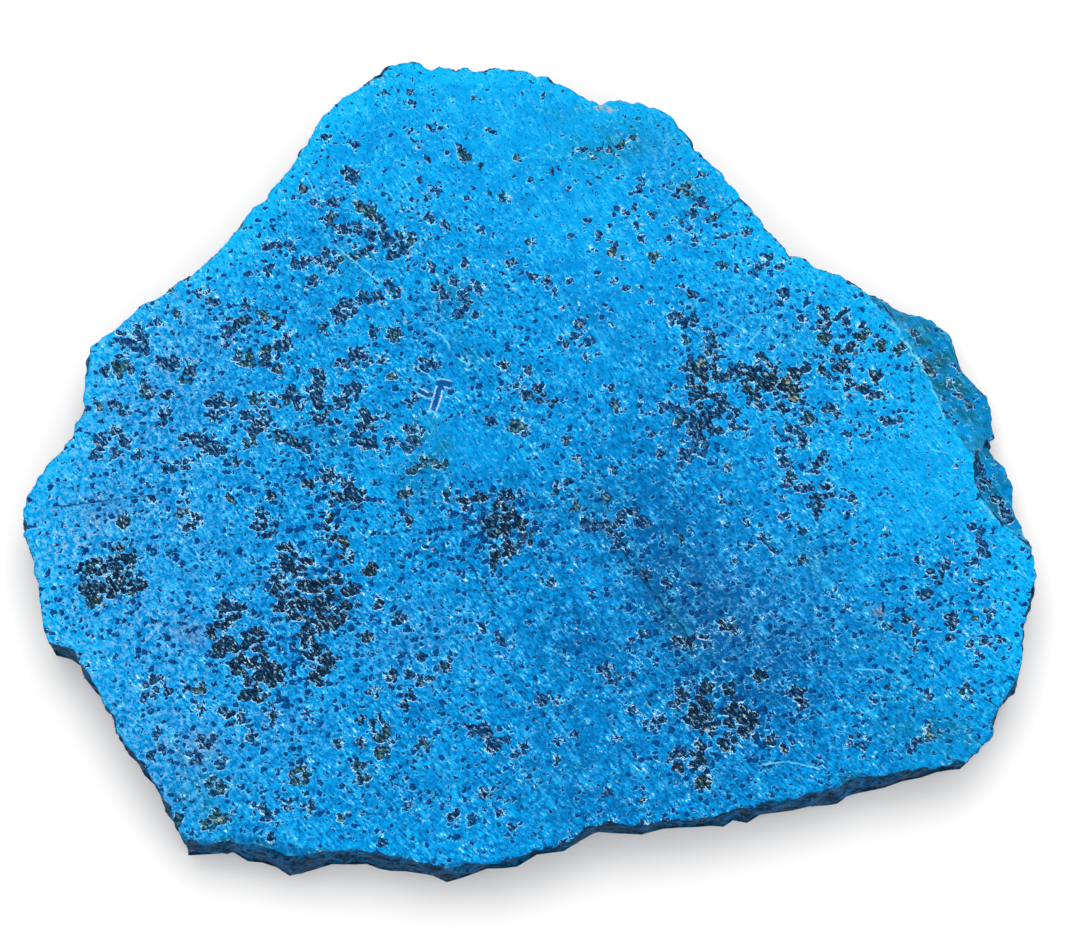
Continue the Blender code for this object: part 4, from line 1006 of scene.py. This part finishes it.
@dataclass(frozen=True)
class MatrixEffect:
    """Group for the dark matrix: round grains, crowded near the marked patches, loose elsewhere.

    Lengths are in millimetres. An edge ramp reads how far a point lies outside a grain.
    """

    usual_distance: float = 1.0
    usual_share: float = 0.4
    grains: float = 1.7
    crowded: float = 0.44
    loose: float = 0.5
    rag: float = 0.5
    crowd_reach: float = 0.55
    uneven: Ramp = Ramp(0.0, 1.0, 0.7, 1.0)
    mask_edge: Ramp = Ramp(-0.02, 0.02, 1.0, 0.0)
    shore_edge: Ramp = Ramp(-0.1, -0.05, 1.0, 0.0)
    rim_glint_inner: Ramp = Ramp(0.01, 0.03)
    rim_glint_outer: Ramp = Ramp(0.08, 0.12, 1.0, 0.0)
    rim_glint_side: tuple = (-0.8, -0.6, 0.0)
    rim_glint_turn: Ramp = Ramp(-0.1, 0.1)
    rim_glint_chance: Ramp = Ramp(0.15, 0.5)

    def build(self) -> bpy.types.NodeTree:
        """Build the group.

        Returns:
            The group, which gives the grains as a mask, their cores within a shore, and a painted
            highlight beside some of them, on their lower left side.
        """
        effect = Effect(
            "matrix",
            {
                "Place": (0.0, 0.0, 0.0), "Distance": self.usual_distance, "Rise": 0.0,
                "Share": self.usual_share, "Grains": self.grains, "Crowded": self.crowded,
                "Loose": self.loose, "Rag": self.rag,
            },
            {"Mask": "NodeSocketFloat", "Shore": "NodeSocketFloat", "Rim_glint": "NodeSocketFloat"},
        )
        wires, given = effect.wires, effect.given
        cells = wires.cells(given["Place"], given["Grains"])
        chance = wires.node("ShaderNodeSeparateXYZ", {0: cells.outputs["Color"]}).outputs
        crowded = wires.remap(given["Distance"], Ramp(0.0, self.crowd_reach, given["Crowded"], 0.0))
        crowded = wires.times(crowded, wires.remap(chance["Y"], self.uneven))
        exists = wires.math("SUBTRACT", wires.math("ADD", chance["X"], given["Share"]), 1.0)
        size = wires.math("MAXIMUM", crowded, wires.times(exists, given["Loose"]))
        reach = wires.math("DIVIDE", cells.outputs["Distance"], given["Grains"])
        edge = wires.add_part(given["Rise"], given["Rag"], wires.math("SUBTRACT", reach, size))
        # Painted highlight: a thin bright band just outside some grains, on their lower left side, where
        # the wet pit wall catches the light.
        rim_glint = wires.times(wires.remap(edge, self.rim_glint_inner), wires.remap(edge, self.rim_glint_outer))
        offset = wires.vector("SUBTRACT", given["Place"], cells.outputs["Position"]).outputs["Vector"]
        toward = wires.vector("DOT_PRODUCT", offset, self.rim_glint_side).outputs["Value"]
        below = wires.times(wires.remap(toward, self.rim_glint_turn), wires.remap(chance["Z"], self.rim_glint_chance))
        return effect.give(
            mask=wires.remap(edge, self.mask_edge),
            shore=wires.remap(edge, self.shore_edge),
            rim_glint=wires.times(rim_glint, below),
        )


@dataclass(frozen=True)
class LineEffect:
    """Group for thin marks, drawn where a signed distance across them passes through zero.

    The distance across a mark is in half widths of it, and the distance away in millimetres.
    """

    usual_across: float = 8.0
    usual_away: float = 3.0
    reach: Ramp = Ramp(0.3, 0.5, 1.0, 0.0)
    body: Ramp = Ramp(0.6, 1.3, 1.0, 0.0)
    outline_at: float = 1.3
    outline: Ramp = Ramp(0.1, 0.35, 1.0, 0.0)

    def build(self) -> bpy.types.NodeTree:
        """Build the group.

        Returns:
            The group, which gives the marks as a mask, and their outline.
        """
        effect = Effect(
            "thin mark", {"Across": self.usual_across, "Away": self.usual_away, "Wobble": 0.0},
            {"Mask": "NodeSocketFloat", "Outline": "NodeSocketFloat"},
        )
        wires, given = effect.wires, effect.given
        across = wires.math("ABSOLUTE", wires.math("ADD", given["Across"], given["Wobble"]))
        close = wires.remap(given["Away"], self.reach)
        beside = wires.math("ABSOLUTE", wires.math("SUBTRACT", across, self.outline_at))
        return effect.give(
            mask=wires.times(wires.remap(across, self.body), close),
            outline=wires.times(wires.remap(beside, self.outline), close),
        )


@dataclass(frozen=True)
class SawEffect:
    """Group for the fine arcs that the saw left, and for places measured across and along them."""

    middle: tuple = (242.0, 160.0, 0.0)
    lines: float = 2.2
    along: float = 0.55
    stretch: tuple = (1.0, 0.2, 0.0)
    detail: float = 1.0
    roughness: float = 0.6

    def build(self) -> bpy.types.NodeTree:
        """Build the group.

        Returns:
            The group, which gives noise drawn out along the arcs, and the places.
        """
        effect = Effect(
            "saw marks",
            {"Place": (0.0, 0.0, 0.0), "Middle": self.middle, "Lines": self.lines, "Along": self.along},
            {"Line": "NodeSocketFloat", "Track": "NodeSocketVector"},
        )
        wires, given = effect.wires, effect.given
        radius = wires.vector("DISTANCE", given["Place"], given["Middle"]).outputs["Value"]
        run = wires.node("ShaderNodeSeparateXYZ", {0: given["Place"]}).outputs["Y"]
        places = {"X": radius, "Y": wires.times(run, given["Along"])}
        track = wires.node("ShaderNodeCombineXYZ", places).outputs[0]
        long = wires.vector("MULTIPLY", track, self.stretch).outputs["Vector"]
        line = wires.noise(long, Cloud(given["Lines"], self.detail, self.roughness))
        return effect.give(line=line, track=track)


@dataclass(frozen=True)
class Effects:
    """The node groups that the finishes share, each built once."""

    matrix: bpy.types.NodeTree
    line: bpy.types.NodeTree
    saw: bpy.types.NodeTree

    @classmethod
    def build(cls) -> "Effects":
        """Build every group."""
        return cls(MatrixEffect().build(), LineEffect().build(), SawEffect().build())


def paint(code: str) -> tuple[float, float, float, float]:
    """Turn a colour as the eye names it into the linear numbers that Blender wants.

    Args:
        code: the colour's six hexadecimal digits.

    Returns:
        Red, green, blue and a full alpha.
    """
    linear = []
    for index in (0, 2, 4):
        level = int(code[index:index + 2], 16) / BYTE_LEVELS
        if level > CURVE_START:
            linear.append(((level + CURVE_OFFSET) / (1.0 + CURVE_OFFSET)) ** CURVE_POWER)
        else:
            linear.append(level / CURVE_SLOPE)
    return linear[0], linear[1], linear[2], 1.0


def stone_paint(code: str) -> tuple[float, float, float, float]:
    """A colour of the stone as the photograph shows it, darkened to allow for the exposure."""
    red, green, blue, _ = paint(code)
    return red * STONE_SHADE, green * STONE_SHADE, blue * STONE_SHADE, 1.0


@dataclass(frozen=True)
class SawnColours:
    """The colours of the sawn face, from the clear stone to its matrix and its bright specks."""

    shadow_blue: tuple = stone_paint("005A98")
    azure: tuple = stone_paint("008ED8")
    bright_blue: tuple = stone_paint("08B4F4")
    royal: tuple = stone_paint("004A8E")
    ink: tuple = stone_paint("023264")
    navy: tuple = stone_paint("042042")
    black: tuple = stone_paint("03070E")
    teal: tuple = stone_paint("0A5F78")
    olive: tuple = stone_paint("2A4440")
    fleck: tuple = stone_paint("8CB4C4")
    brown: tuple = stone_paint("6A4A34")
    # Whitish haze of the dry face, partly its own frosting and partly painted sheen.
    haze_and_sheen: tuple = stone_paint("8CB4D8")
    # Pale cyan of the painted highlights along the saw's arcs.
    saw_glint: tuple = stone_paint("30C0F8")
    # Pale cyan of the painted highlights beside the grains, also used for the bright spots and pale
    # marks.
    rim_glint: tuple = stone_paint("74DAFF")
    # White of the painted glints and of the painted highlights beside grains and glassy marks.
    glint_white: tuple = stone_paint("F0FAFF")
    cream: tuple = stone_paint("A9B3A0")
    slate: tuple = stone_paint("165A92")
    sage: tuple = stone_paint("2E6470")
    ash: tuple = stone_paint("163C58")


class StoneMaterial:
    """A material under construction: its nodes, its shader and places in millimetres."""

    def __init__(self, name: str, flat: bool) -> None:
        """Start the material.

        Args:
            name: the material's name.
            flat: whether its textures vary only across the sawn face.
        """
        self.made = bpy.data.materials.new(name)
        self.made.use_nodes = True
        self.wires = Wiring(self.made.node_tree, flat)
        self.shader = self.made.node_tree.nodes["Principled BSDF"]
        coords = self.wires.node("ShaderNodeTexCoord").outputs["Object"]
        scale = (1.0 / MM, 1.0 / MM, 0.0 if flat else 1.0 / MM)
        self.place = self.wires.vector("MULTIPLY", coords, scale).outputs["Vector"]

    def give(
        self, colour: Socket, roughness: Socket, height: Socket, relief: float, gloss: float,
    ) -> bpy.types.Material:
        """Join the results to the shader.

        Args:
            colour: the stone's colour.
            roughness: how dull it is.
            height: the noise that its fine relief follows.
            relief: how deep the fine relief is, in metres.
            gloss: how strongly it mirrors light.

        Returns:
            The finished material.
        """
        bumps = {"Strength": 1.0, "Distance": relief, "Height": height}
        self.wires.feed(self.shader.inputs["Base Color"], colour)
        self.wires.feed(self.shader.inputs["Roughness"], roughness)
        normal = self.wires.node("ShaderNodeBump", bumps).outputs["Normal"]
        self.wires.feed(self.shader.inputs["Normal"], normal)
        self.shader.inputs["Specular IOR Level"].default_value = gloss
        return self.made


@dataclass(frozen=True)
class Noises:
    """What the layers of the sawn finish all read.

    Args:
        line: noise drawn out along the saw's arcs.
        grain: the main grain, about a half of a millimetre.
        fine: a finer grain.
        medium: noise about a millimetre and a half across.
        broad: noise about a centimetre across.
        speckled: how thickly the stone is sown with specks.
        rise: how far the main grain lies below its middle.
    """

    line: Socket
    grain: Socket
    fine: Socket
    medium: Socket
    broad: Socket
    speckled: Socket
    rise: Socket


@dataclass(frozen=True)
class Layer:
    """One layer of the sawn finish: the material's nodes, the noises it reads, and the colours."""

    wires: Wiring
    noises: Noises
    colours: SawnColours


@dataclass(frozen=True)
class ClearStone(Layer):
    """The stone between its specks: deep to bright blue, with teal, hazy and brown areas, painted rim
    light and top light, painted sheen in the hazy areas, and painted highlights along the saw's arcs.
    """

    calm: Ramp = Ramp(0.0, 1.0, 1.0, 0.4)
    stir: Ramp = Ramp(0.35, 0.65, 0.5, 1.3)
    tone: float = 0.55
    broad_part: float = 0.8
    bright_part: float = 0.4
    deep_part: float = -0.36
    medium_part: float = 1.2
    lively_part: float = 2.9
    low_tones: Ramp = Ramp(-0.3, 0.5)
    high_tones: Ramp = Ramp(0.5, 1.3)
    teal_where: Ramp = Ramp(0.36, 0.6)
    teal_share: float = 0.8
    haze_and_sheen_where: Ramp = Ramp(0.5, 0.66)
    haze_and_sheen_share: float = 0.6
    brown_where: Ramp = Ramp(0.35, 0.6)
    brown_share: float = 0.7
    saw_glint_line: Ramp = Ramp(0.56, 0.72)
    saw_glint_where: Ramp = Ramp(0.4, 0.6)
    saw_glint_share: float = 0.5
    dust_part: float = -0.03
    dust_where: Ramp = Ramp(0.38, 0.34)
    dust_share: float = 0.65

    def draw(self) -> Socket:
        """Draw the clear stone and the areas that tint it.

        Returns:
            The colour.
        """
        wires, noises, colours = self.wires, self.noises, self.colours
        grain, medium = noises.grain, noises.medium
        tone = self.tones()
        low = wires.tint(wires.remap(tone, self.low_tones), colours.shadow_blue, colours.azure)
        colour = wires.tint(wires.remap(tone, self.high_tones), low, colours.bright_blue)
        # The hazy layer is partly the dry face's pale frosting and partly painted sheen.
        for name, noise_read, where, share, ink in (
            ("teal", medium, self.teal_where, self.teal_share, colours.teal),
            ("hazy_sheen", grain, self.haze_and_sheen_where, self.haze_and_sheen_share, colours.haze_and_sheen),
            ("brown", medium, self.brown_where, self.brown_share, colours.brown),
        ):
            area = wires.times(wires.field(name), wires.remap(noise_read, where))
            colour = wires.tint(wires.times(area, share), colour, ink)
        # Painted highlights along the saw's arcs, where the fine grooves catch the light.
        saw_glint = wires.remap(noises.line, self.saw_glint_line)
        saw_glint = wires.times(saw_glint, wires.remap(medium, self.saw_glint_where))
        colour = wires.tint(wires.times(saw_glint, self.saw_glint_share), colour, colours.saw_glint)
        dust = wires.add_part(noises.speckled, self.dust_part, noises.fine)
        dust = wires.times(wires.remap(dust, self.dust_where), self.dust_share)
        return wires.tint(dust, colour, colours.royal)

    def tones(self) -> Socket:
        """Work out how bright the clear stone is at each point.

        Returns:
            The tone, about 0 in its shadows and above 1 where it is brightest.
        """
        wires, noises = self.wires, self.noises
        calm = wires.remap(wires.field("smooth"), self.calm)
        calm = wires.times(calm, wires.remap(noises.medium, self.stir))
        both = wires.math("ADD", noises.fine, noises.grain)
        lively = wires.times(wires.math("SUBTRACT", both, 2 * NOISE_MIDDLE), calm)
        broad = wires.math("SUBTRACT", noises.broad, NOISE_MIDDLE)
        medium = wires.math("SUBTRACT", noises.medium, NOISE_MIDDLE)
        tone = wires.add_part(broad, self.broad_part, self.tone)
        # The bright field adds lighter stone, painted rim light and painted light over the top of the
        # face.
        tone = wires.add_part(wires.field("bright"), self.bright_part, tone)
        tone = wires.add_part(wires.field("deep"), self.deep_part, tone)
        tone = wires.add_part(medium, self.medium_part, tone)
        return wires.add_part(lively, self.lively_part, tone)


@dataclass(frozen=True)
class DarkMatrix(Layer):
    """The dark matrix: crowded near the marked patches, and loose grains elsewhere, with a painted
    highlight beside some grains.
    """

    effect: bpy.types.NodeTree
    far: float = 3.0
    olive_inset: float = 0.03
    patch_inset: float = 0.06
    speckled_growth: float = -0.22
    green_where: Ramp = Ramp(-0.1, 0.4, 1.0, 0.0)
    speckled_share: float = 0.3
    share: float = 0.46
    solid: Ramp = Ramp(0.6, 1.2)
    heart: Ramp = Ramp(0.42, 0.52)
    fleck: Ramp = Ramp(0.6, 0.66, 0.0, 0.8)
    loose: Ramp = Ramp(0.44, 0.56)
    crowd: Ramp = Ramp(0.2, 0.5, 1.0, 0.0)
    rim_glint_shown: Ramp = Ramp(0.4, 1.2, 1.0, 0.5)
    white_rim_glints: float = 0.45

    def draw(self, place: Socket, base: Socket, marked: bool) -> Socket:
        """Lay the matrix, and the painted highlights beside its grains, over the clear stone.

        Args:
            place: where on the slab each point is, in millimetres.
            base: the colour so far.
            marked: whether the patches read from the real face are drawn.

        Returns:
            The colour with the matrix.
        """
        wires, noises, colours = self.wires, self.noises, self.colours
        speckled, fine = noises.speckled, noises.fine
        distance = self.far
        green = 0.0
        if marked:
            olive = wires.field("olive")
            olive_edge = wires.math("ADD", olive, self.olive_inset)
            distance = wires.math("MINIMUM", wires.field("matrix"), olive_edge)
            distance = wires.math("ADD", distance, self.patch_inset)
            distance = wires.add_part(speckled, self.speckled_growth, distance)
            green = wires.remap(olive, self.green_where)
        bend = wires.node("ShaderNodeCombineXYZ", {"X": noises.grain, "Y": noises.medium}).outputs[0]
        grains = wires.group(
            self.effect, place=wires.vector("ADD", place, bend).outputs["Vector"], distance=distance,
            rise=noises.rise, share=wires.add_part(speckled, self.speckled_share, self.share),
        )
        solid = wires.remap(wires.math("ADD", speckled, noises.medium), self.solid)
        dark = wires.tint(wires.times(fine, solid), colours.navy, colours.black)
        heart = wires.tint(solid, colours.slate, colours.ash)
        leaf = wires.tint(solid, colours.sage, colours.olive)
        core = wires.tint(wires.remap(fine, self.heart), dark, wires.tint(green, heart, leaf))
        core = wires.tint(wires.remap(fine, self.fleck), core, colours.fleck)
        loose = wires.tint(wires.remap(noises.grain, self.loose), colours.ink, colours.royal)
        crowd = wires.remap(distance, self.crowd)
        core = wires.tint(crowd, loose, core)
        # Painted highlights beside the grains: pale cyan, whiter where the grains crowd.
        rim_glint = wires.tint(wires.times(crowd, self.white_rim_glints), colours.rim_glint, colours.glint_white)
        shown = wires.times(grains.outputs["Rim_glint"], wires.remap(distance, self.rim_glint_shown))
        colour = wires.tint(shown, base, rim_glint)
        colour = wires.tint(grains.outputs["Mask"], colour, wires.tint(crowd, colours.ink, dark))
        return wires.tint(grains.outputs["Shore"], colour, core)


@dataclass(frozen=True)
class GlintsAndSpots(Layer):
    """Painted white glints, highlights of the wet face, all over it, and the cream and bright spots read
    from it, the bright ones partly painted glints.
    """

    calm: Ramp = Ramp(0.1, 0.7, 1.0, 0.3)
    glint_fine: Ramp = Ramp(0.655, 0.69)
    glint_medium: Ramp = Ramp(0.5, 0.64)
    glint_share: float = 0.8
    spot_rag: float = 1.2
    spot_edge: Ramp = Ramp(-0.1, -0.03, 1.0, 0.0)
    spot_break: Ramp = Ramp(0.42, 0.56, 0.2, 0.85)

    def draw_glints(self, base: Socket) -> Socket:
        """Lay the painted glints, highlights of the wet face, over the stone.

        Args:
            base: the colour so far.

        Returns:
            The colour with the glints.
        """
        wires = self.wires
        # Painted glints: small white highlights of the wet face, fewer where it is smooth.
        glint = wires.remap(self.noises.fine, self.glint_fine)
        glint = wires.times(glint, wires.remap(self.noises.medium, self.glint_medium))
        glint = wires.times(glint, wires.remap(wires.field("smooth"), self.calm))
        return wires.tint(wires.times(glint, self.glint_share), base, self.colours.glint_white)

    def draw_spots(self, base: Socket) -> Socket:
        """Lay the spots of the real face over the stone.

        Args:
            base: the colour so far.

        Returns:
            The colour with the spots.
        """
        wires, colour = self.wires, base
        # Cream spots, then the bright spots: cyan stone and painted glints.
        for name, ink in (("cream", self.colours.cream), ("cyan_and_glint", self.colours.rim_glint)):
            edge = wires.add_part(self.noises.rise, self.spot_rag, wires.field(name))
            spot = wires.remap(edge, self.spot_edge)
            spot = wires.times(spot, wires.remap(self.noises.fine, self.spot_break))
            colour = wires.tint(spot, colour, ink)
        return colour


@dataclass(frozen=True)
class ThinMarks(Layer):
    """The cracks, scratches and glassy strokes read from the real face, and painted highlights along the
    ridges and round the glassy strokes.
    """

    effect: bpy.types.NodeTree
    wobble: tuple = (5.0, -2.5)
    steady: tuple = (1.6, -0.8)
    broken: Ramp = Ramp(0.36, 0.5, 0.25, 1.0)
    dark_share: float = 0.75
    pale_share: float = 0.65
    blue_share: float = 0.9
    glint_outline_share: float = 0.6

    def draw(self, base: Socket) -> Socket:
        """Lay the marks over the stone.

        Args:
            base: the colour so far.

        Returns:
            The colour with the marks.
        """
        wires, noises, colours = self.wires, self.noises, self.colours
        wobble = wires.add_part(noises.grain, *self.wobble)
        steady = wires.add_part(noises.grain, *self.steady)
        broken = wires.remap(noises.medium, self.broken)
        dark = self.mark("dark", wobble).outputs
        shown = wires.times(wires.times(dark["Mask"], self.dark_share), broken)
        colour = wires.tint(shown, base, colours.navy)
        blue = self.mark("blue", steady).outputs
        colour = wires.tint(wires.times(blue["Mask"], self.blue_share), colour, colours.royal)
        # Painted highlight: a white outline down both sides of the glassy blue marks.
        colour = wires.tint(wires.times(blue["Outline"], self.glint_outline_share), colour, colours.glint_white)
        # Pale marks: pale lines of the stone, and painted highlights along the ridges and beside the
        # glassy marks.
        pale = self.mark("pale", wobble).outputs
        shown = wires.times(wires.times(pale["Mask"], self.pale_share), broken)
        return wires.tint(shown, colour, colours.rim_glint)

    def mark(self, name: str, wobble: Socket) -> bpy.types.Node:
        """Place the group for one kind of mark.

        Args:
            name: the kind, as the mesh's fields name it.
            wobble: how far its edges wander, in half widths.

        Returns:
            The group's node.
        """
        across = self.wires.field(name + "_across")
        away = self.wires.field(name + "_away")
        return self.wires.group(self.effect, across=across, away=away, wobble=wobble)


@dataclass(frozen=True)
class SawnFinish:
    """Wet-looking azure turquoise with dark matrix, for the sawn face and the underside."""

    effects: Effects
    colours: SawnColours = SawnColours()
    grain: Cloud = Cloud(1.9, 3.0, 0.7)
    fine: Cloud = Cloud(4.4, 2.0, 0.75)
    medium: Cloud = Cloud(0.7, 2.0, 0.6)
    broad: Cloud = Cloud(0.13, 3.0, 0.6)
    smooth_part: float = 0.8
    roughness: Ramp = Ramp(0.4, 0.6, 0.24, 0.144)
    gloss: float = 0.02
    relief: float = 0.00012

    def material(self, marked: bool) -> bpy.types.Material:
        """Build the finish.

        Args:
            marked: whether the marks read from the real face are drawn, or only the grain.

        Returns:
            The new material.
        """
        material = StoneMaterial("sawn turquoise" if marked else "sawn underside", flat=True)
        wires, place = material.wires, material.place
        noises = self.noises(wires, place, marked)
        given = (wires, noises, self.colours)
        specks = GlintsAndSpots(*given)
        colour = ClearStone(*given).draw()
        colour = DarkMatrix(*given, self.effects.matrix).draw(place, colour, marked)
        colour = specks.draw_glints(colour)
        if marked:
            colour = specks.draw_spots(colour)
            colour = ThinMarks(*given, self.effects.line).draw(colour)
        dull = wires.remap(noises.grain, self.roughness)
        return material.give(colour, dull, noises.grain, self.relief, self.gloss)

    def noises(self, wires: Wiring, place: Socket, marked: bool) -> Noises:
        """Make the noises that the layers share.

        Args:
            wires: the material's nodes.
            place: where on the slab each point is, in millimetres.
            marked: whether the coarser noises come from the mesh, as on the real face.

        Returns:
            The noises.
        """
        saw = wires.group(self.effects.saw, place=place).outputs
        grain = wires.noise(place, self.grain)
        less = wires.times(wires.field("smooth"), self.smooth_part)
        return Noises(
            line=saw["Line"], grain=grain, fine=wires.noise(saw["Track"], self.fine),
            medium=wires.field("medium") if marked else wires.noise(place, self.medium),
            broad=wires.field("broad") if marked else wires.noise(place, self.broad),
            speckled=wires.math("SUBTRACT", wires.field("speckled"), less),
            rise=wires.math("SUBTRACT", NOISE_MIDDLE, grain),
        )


@dataclass(frozen=True)
class BrokenFinish:
    """The dull broken and weathered skin round the side of the slab."""

    blue: tuple = stone_paint("066CA4")
    teal: tuple = stone_paint("084E78")
    navy: tuple = stone_paint("042244")
    black: tuple = stone_paint("040E1C")
    olive: tuple = stone_paint("1E3C44")
    pale: tuple = stone_paint("3C90C8")
    broad: Cloud = Cloud(0.35, 4.0, 0.6)
    blue_where: Ramp = Ramp(0.35, 0.65)
    grain: Cloud = Cloud(1.9, 4.0, 0.75)
    navy_where: Ramp = Ramp(0.55, 0.4)
    patches: Cloud = Cloud(1.1, 5.0, 0.75)
    black_where: Ramp = Ramp(0.47, 0.62)
    black_share: float = 0.9
    greens: Cloud = Cloud(0.6, 3.0, 0.5)
    olive_where: Ramp = Ramp(0.56, 0.7)
    olive_share: float = 0.6
    lights: Cloud = Cloud(2.2, 3.0, 0.7)
    pale_where: Ramp = Ramp(0.6, 0.72)
    pale_share: float = 0.5
    patch_depth: float = -0.4
    roughness: Ramp = Ramp(0.0, 1.0, 0.4, 0.3)
    gloss: float = 0.03
    relief: float = 0.00022

    def material(self) -> bpy.types.Material:
        """Build the finish.

        Returns:
            The new material.
        """
        material = StoneMaterial("broken turquoise", flat=False)
        wires, place = material.wires, material.place
        broad = wires.remap(wires.noise(place, self.broad), self.blue_where)
        grain = wires.noise(place, self.grain)
        colour = wires.tint(broad, self.teal, self.blue)
        colour = wires.tint(wires.remap(grain, self.navy_where), colour, self.navy)
        patch = wires.remap(wires.noise(place, self.patches), self.black_where)
        colour = wires.tint(wires.times(patch, self.black_share), colour, self.black)
        green = wires.remap(wires.noise(place, self.greens), self.olive_where)
        colour = wires.tint(wires.times(green, self.olive_share), colour, self.olive)
        light = wires.remap(wires.noise(place, self.lights), self.pale_where)
        colour = wires.tint(wires.times(light, self.pale_share), colour, self.pale)
        height = wires.add_part(patch, self.patch_depth, grain)
        return material.give(
            colour, wires.remap(patch, self.roughness), height, self.relief, self.gloss,
        )


@dataclass
class Slab:
    """The dressed slab: one piece of stone with its three finishes."""

    surface: StoneSurface = field(default_factory=StoneSurface)

    def build(self) -> None:
        """Make the stone, dress it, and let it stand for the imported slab."""
        stone = self.surface.build()
        effects = Effects.build()
        sawn = SawnFinish(effects)
        finishes = {
            Face.SAWN: sawn.material(marked=True),
            Face.SIDE: BrokenFinish().material(),
            Face.UNDER: sawn.material(marked=False),
        }
        for kind in Face:
            stone.data.materials.append(finishes[kind])
        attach(stone, "root")
        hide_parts(NODE_NAME)
        LOG.info("slab_stone: %d faces", len(stone.data.polygons))


@dataclass
class Studio:
    """A plain pale floor and plain soft light, which falls from beyond the top of the slab."""

    floor_size: float = 3.0
    floor_colour: tuple = paint("F6F4F2")
    floor_roughness: float = 0.8
    floor_gloss: float = 0.2
    sky_colour: tuple = paint("F3F4F5")
    sky_strength: float = 1.22
    key_power: float = 3.0
    key_size: float = 0.7
    key_distance: float = 0.9
    key_height: float = 58.0

    def build(self) -> None:
        """Add the floor, the sky and the key light."""
        self.add_floor()
        self.add_sky()
        self.add_key_light()
        LOG.info("studio: floor, sky and key light")

    def add_floor(self) -> None:
        """Lay the floor that the slab rests on."""
        mesh = bmesh.new()
        bmesh.ops.create_grid(mesh, x_segments=1, y_segments=1, size=self.floor_size / 2)
        data = bpy.data.meshes.new("floor")
        mesh.to_mesh(data)
        mesh.free()
        floor = bpy.data.objects.new("floor", data)
        bpy.context.scene.collection.objects.link(floor)
        paper = bpy.data.materials.new("pale floor")
        paper.use_nodes = True
        shader = paper.node_tree.nodes["Principled BSDF"]
        shader.inputs["Base Color"].default_value = self.floor_colour
        shader.inputs["Roughness"].default_value = self.floor_roughness
        shader.inputs["Specular IOR Level"].default_value = self.floor_gloss
        data.materials.append(paper)

    def add_sky(self) -> None:
        """Fill the room with even light."""
        world = bpy.data.worlds.new("soft room")
        world.use_nodes = True
        background = world.node_tree.nodes["Background"]
        background.inputs["Color"].default_value = self.sky_colour
        background.inputs["Strength"].default_value = self.sky_strength
        bpy.context.scene.world = world

    def add_key_light(self) -> None:
        """Add a square lamp beyond the top of the slab, so many degrees up, and face it inward."""
        data = bpy.data.lights.new("key light", "AREA")
        data.energy = self.key_power
        data.size = self.key_size
        lamp = bpy.data.objects.new("key light", data)
        lift = math.radians(self.key_height)
        away = Vector((0.0, math.cos(lift), math.sin(lift)))
        lamp.location = away * self.key_distance
        lamp.rotation_euler = away.to_track_quat("Z", "Y").to_euler()
        bpy.context.scene.collection.objects.link(lamp)


@dataclass
class PhotoCamera:
    """The camera at the photograph's viewing angle. Its lens and sensor are in millimetres."""

    lens: float = 140.0
    sensor: float = 36.0
    tilt: float = 14.5
    distance: float = 0.352
    target: tuple = (0.001005, -0.000839, 0.0055)
    nearest: float = 0.01
    farthest: float = 20.0

    def build(self) -> None:
        """Add the camera and look through it."""
        data = bpy.data.cameras.new("photo camera")
        data.lens = self.lens
        data.sensor_width = self.sensor
        data.sensor_fit = "HORIZONTAL"
        data.clip_start = self.nearest
        data.clip_end = self.farthest
        camera = bpy.data.objects.new("photo camera", data)
        lean = math.radians(self.tilt)
        away = Vector((0.0, -math.sin(lean), math.cos(lean)))
        camera.location = Vector(self.target) + away * self.distance
        camera.rotation_euler = (lean, 0.0, 0.0)
        bpy.context.scene.collection.objects.link(camera)
        bpy.context.scene.camera = camera
        LOG.info("camera: %.1f degrees from straight above", self.tilt)


def main() -> None:
    """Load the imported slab, dress it, and set up the studio and the camera."""
    logging.basicConfig(level=logging.INFO, format="%(name)s: %(message)s")
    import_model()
    bpy.context.scene.view_settings.view_transform = "Standard"
    PhotoCamera().build()
    Slab().build()
    Studio().build()
    LOG.info("sizes written")


if __name__ == "__main__":
    main()
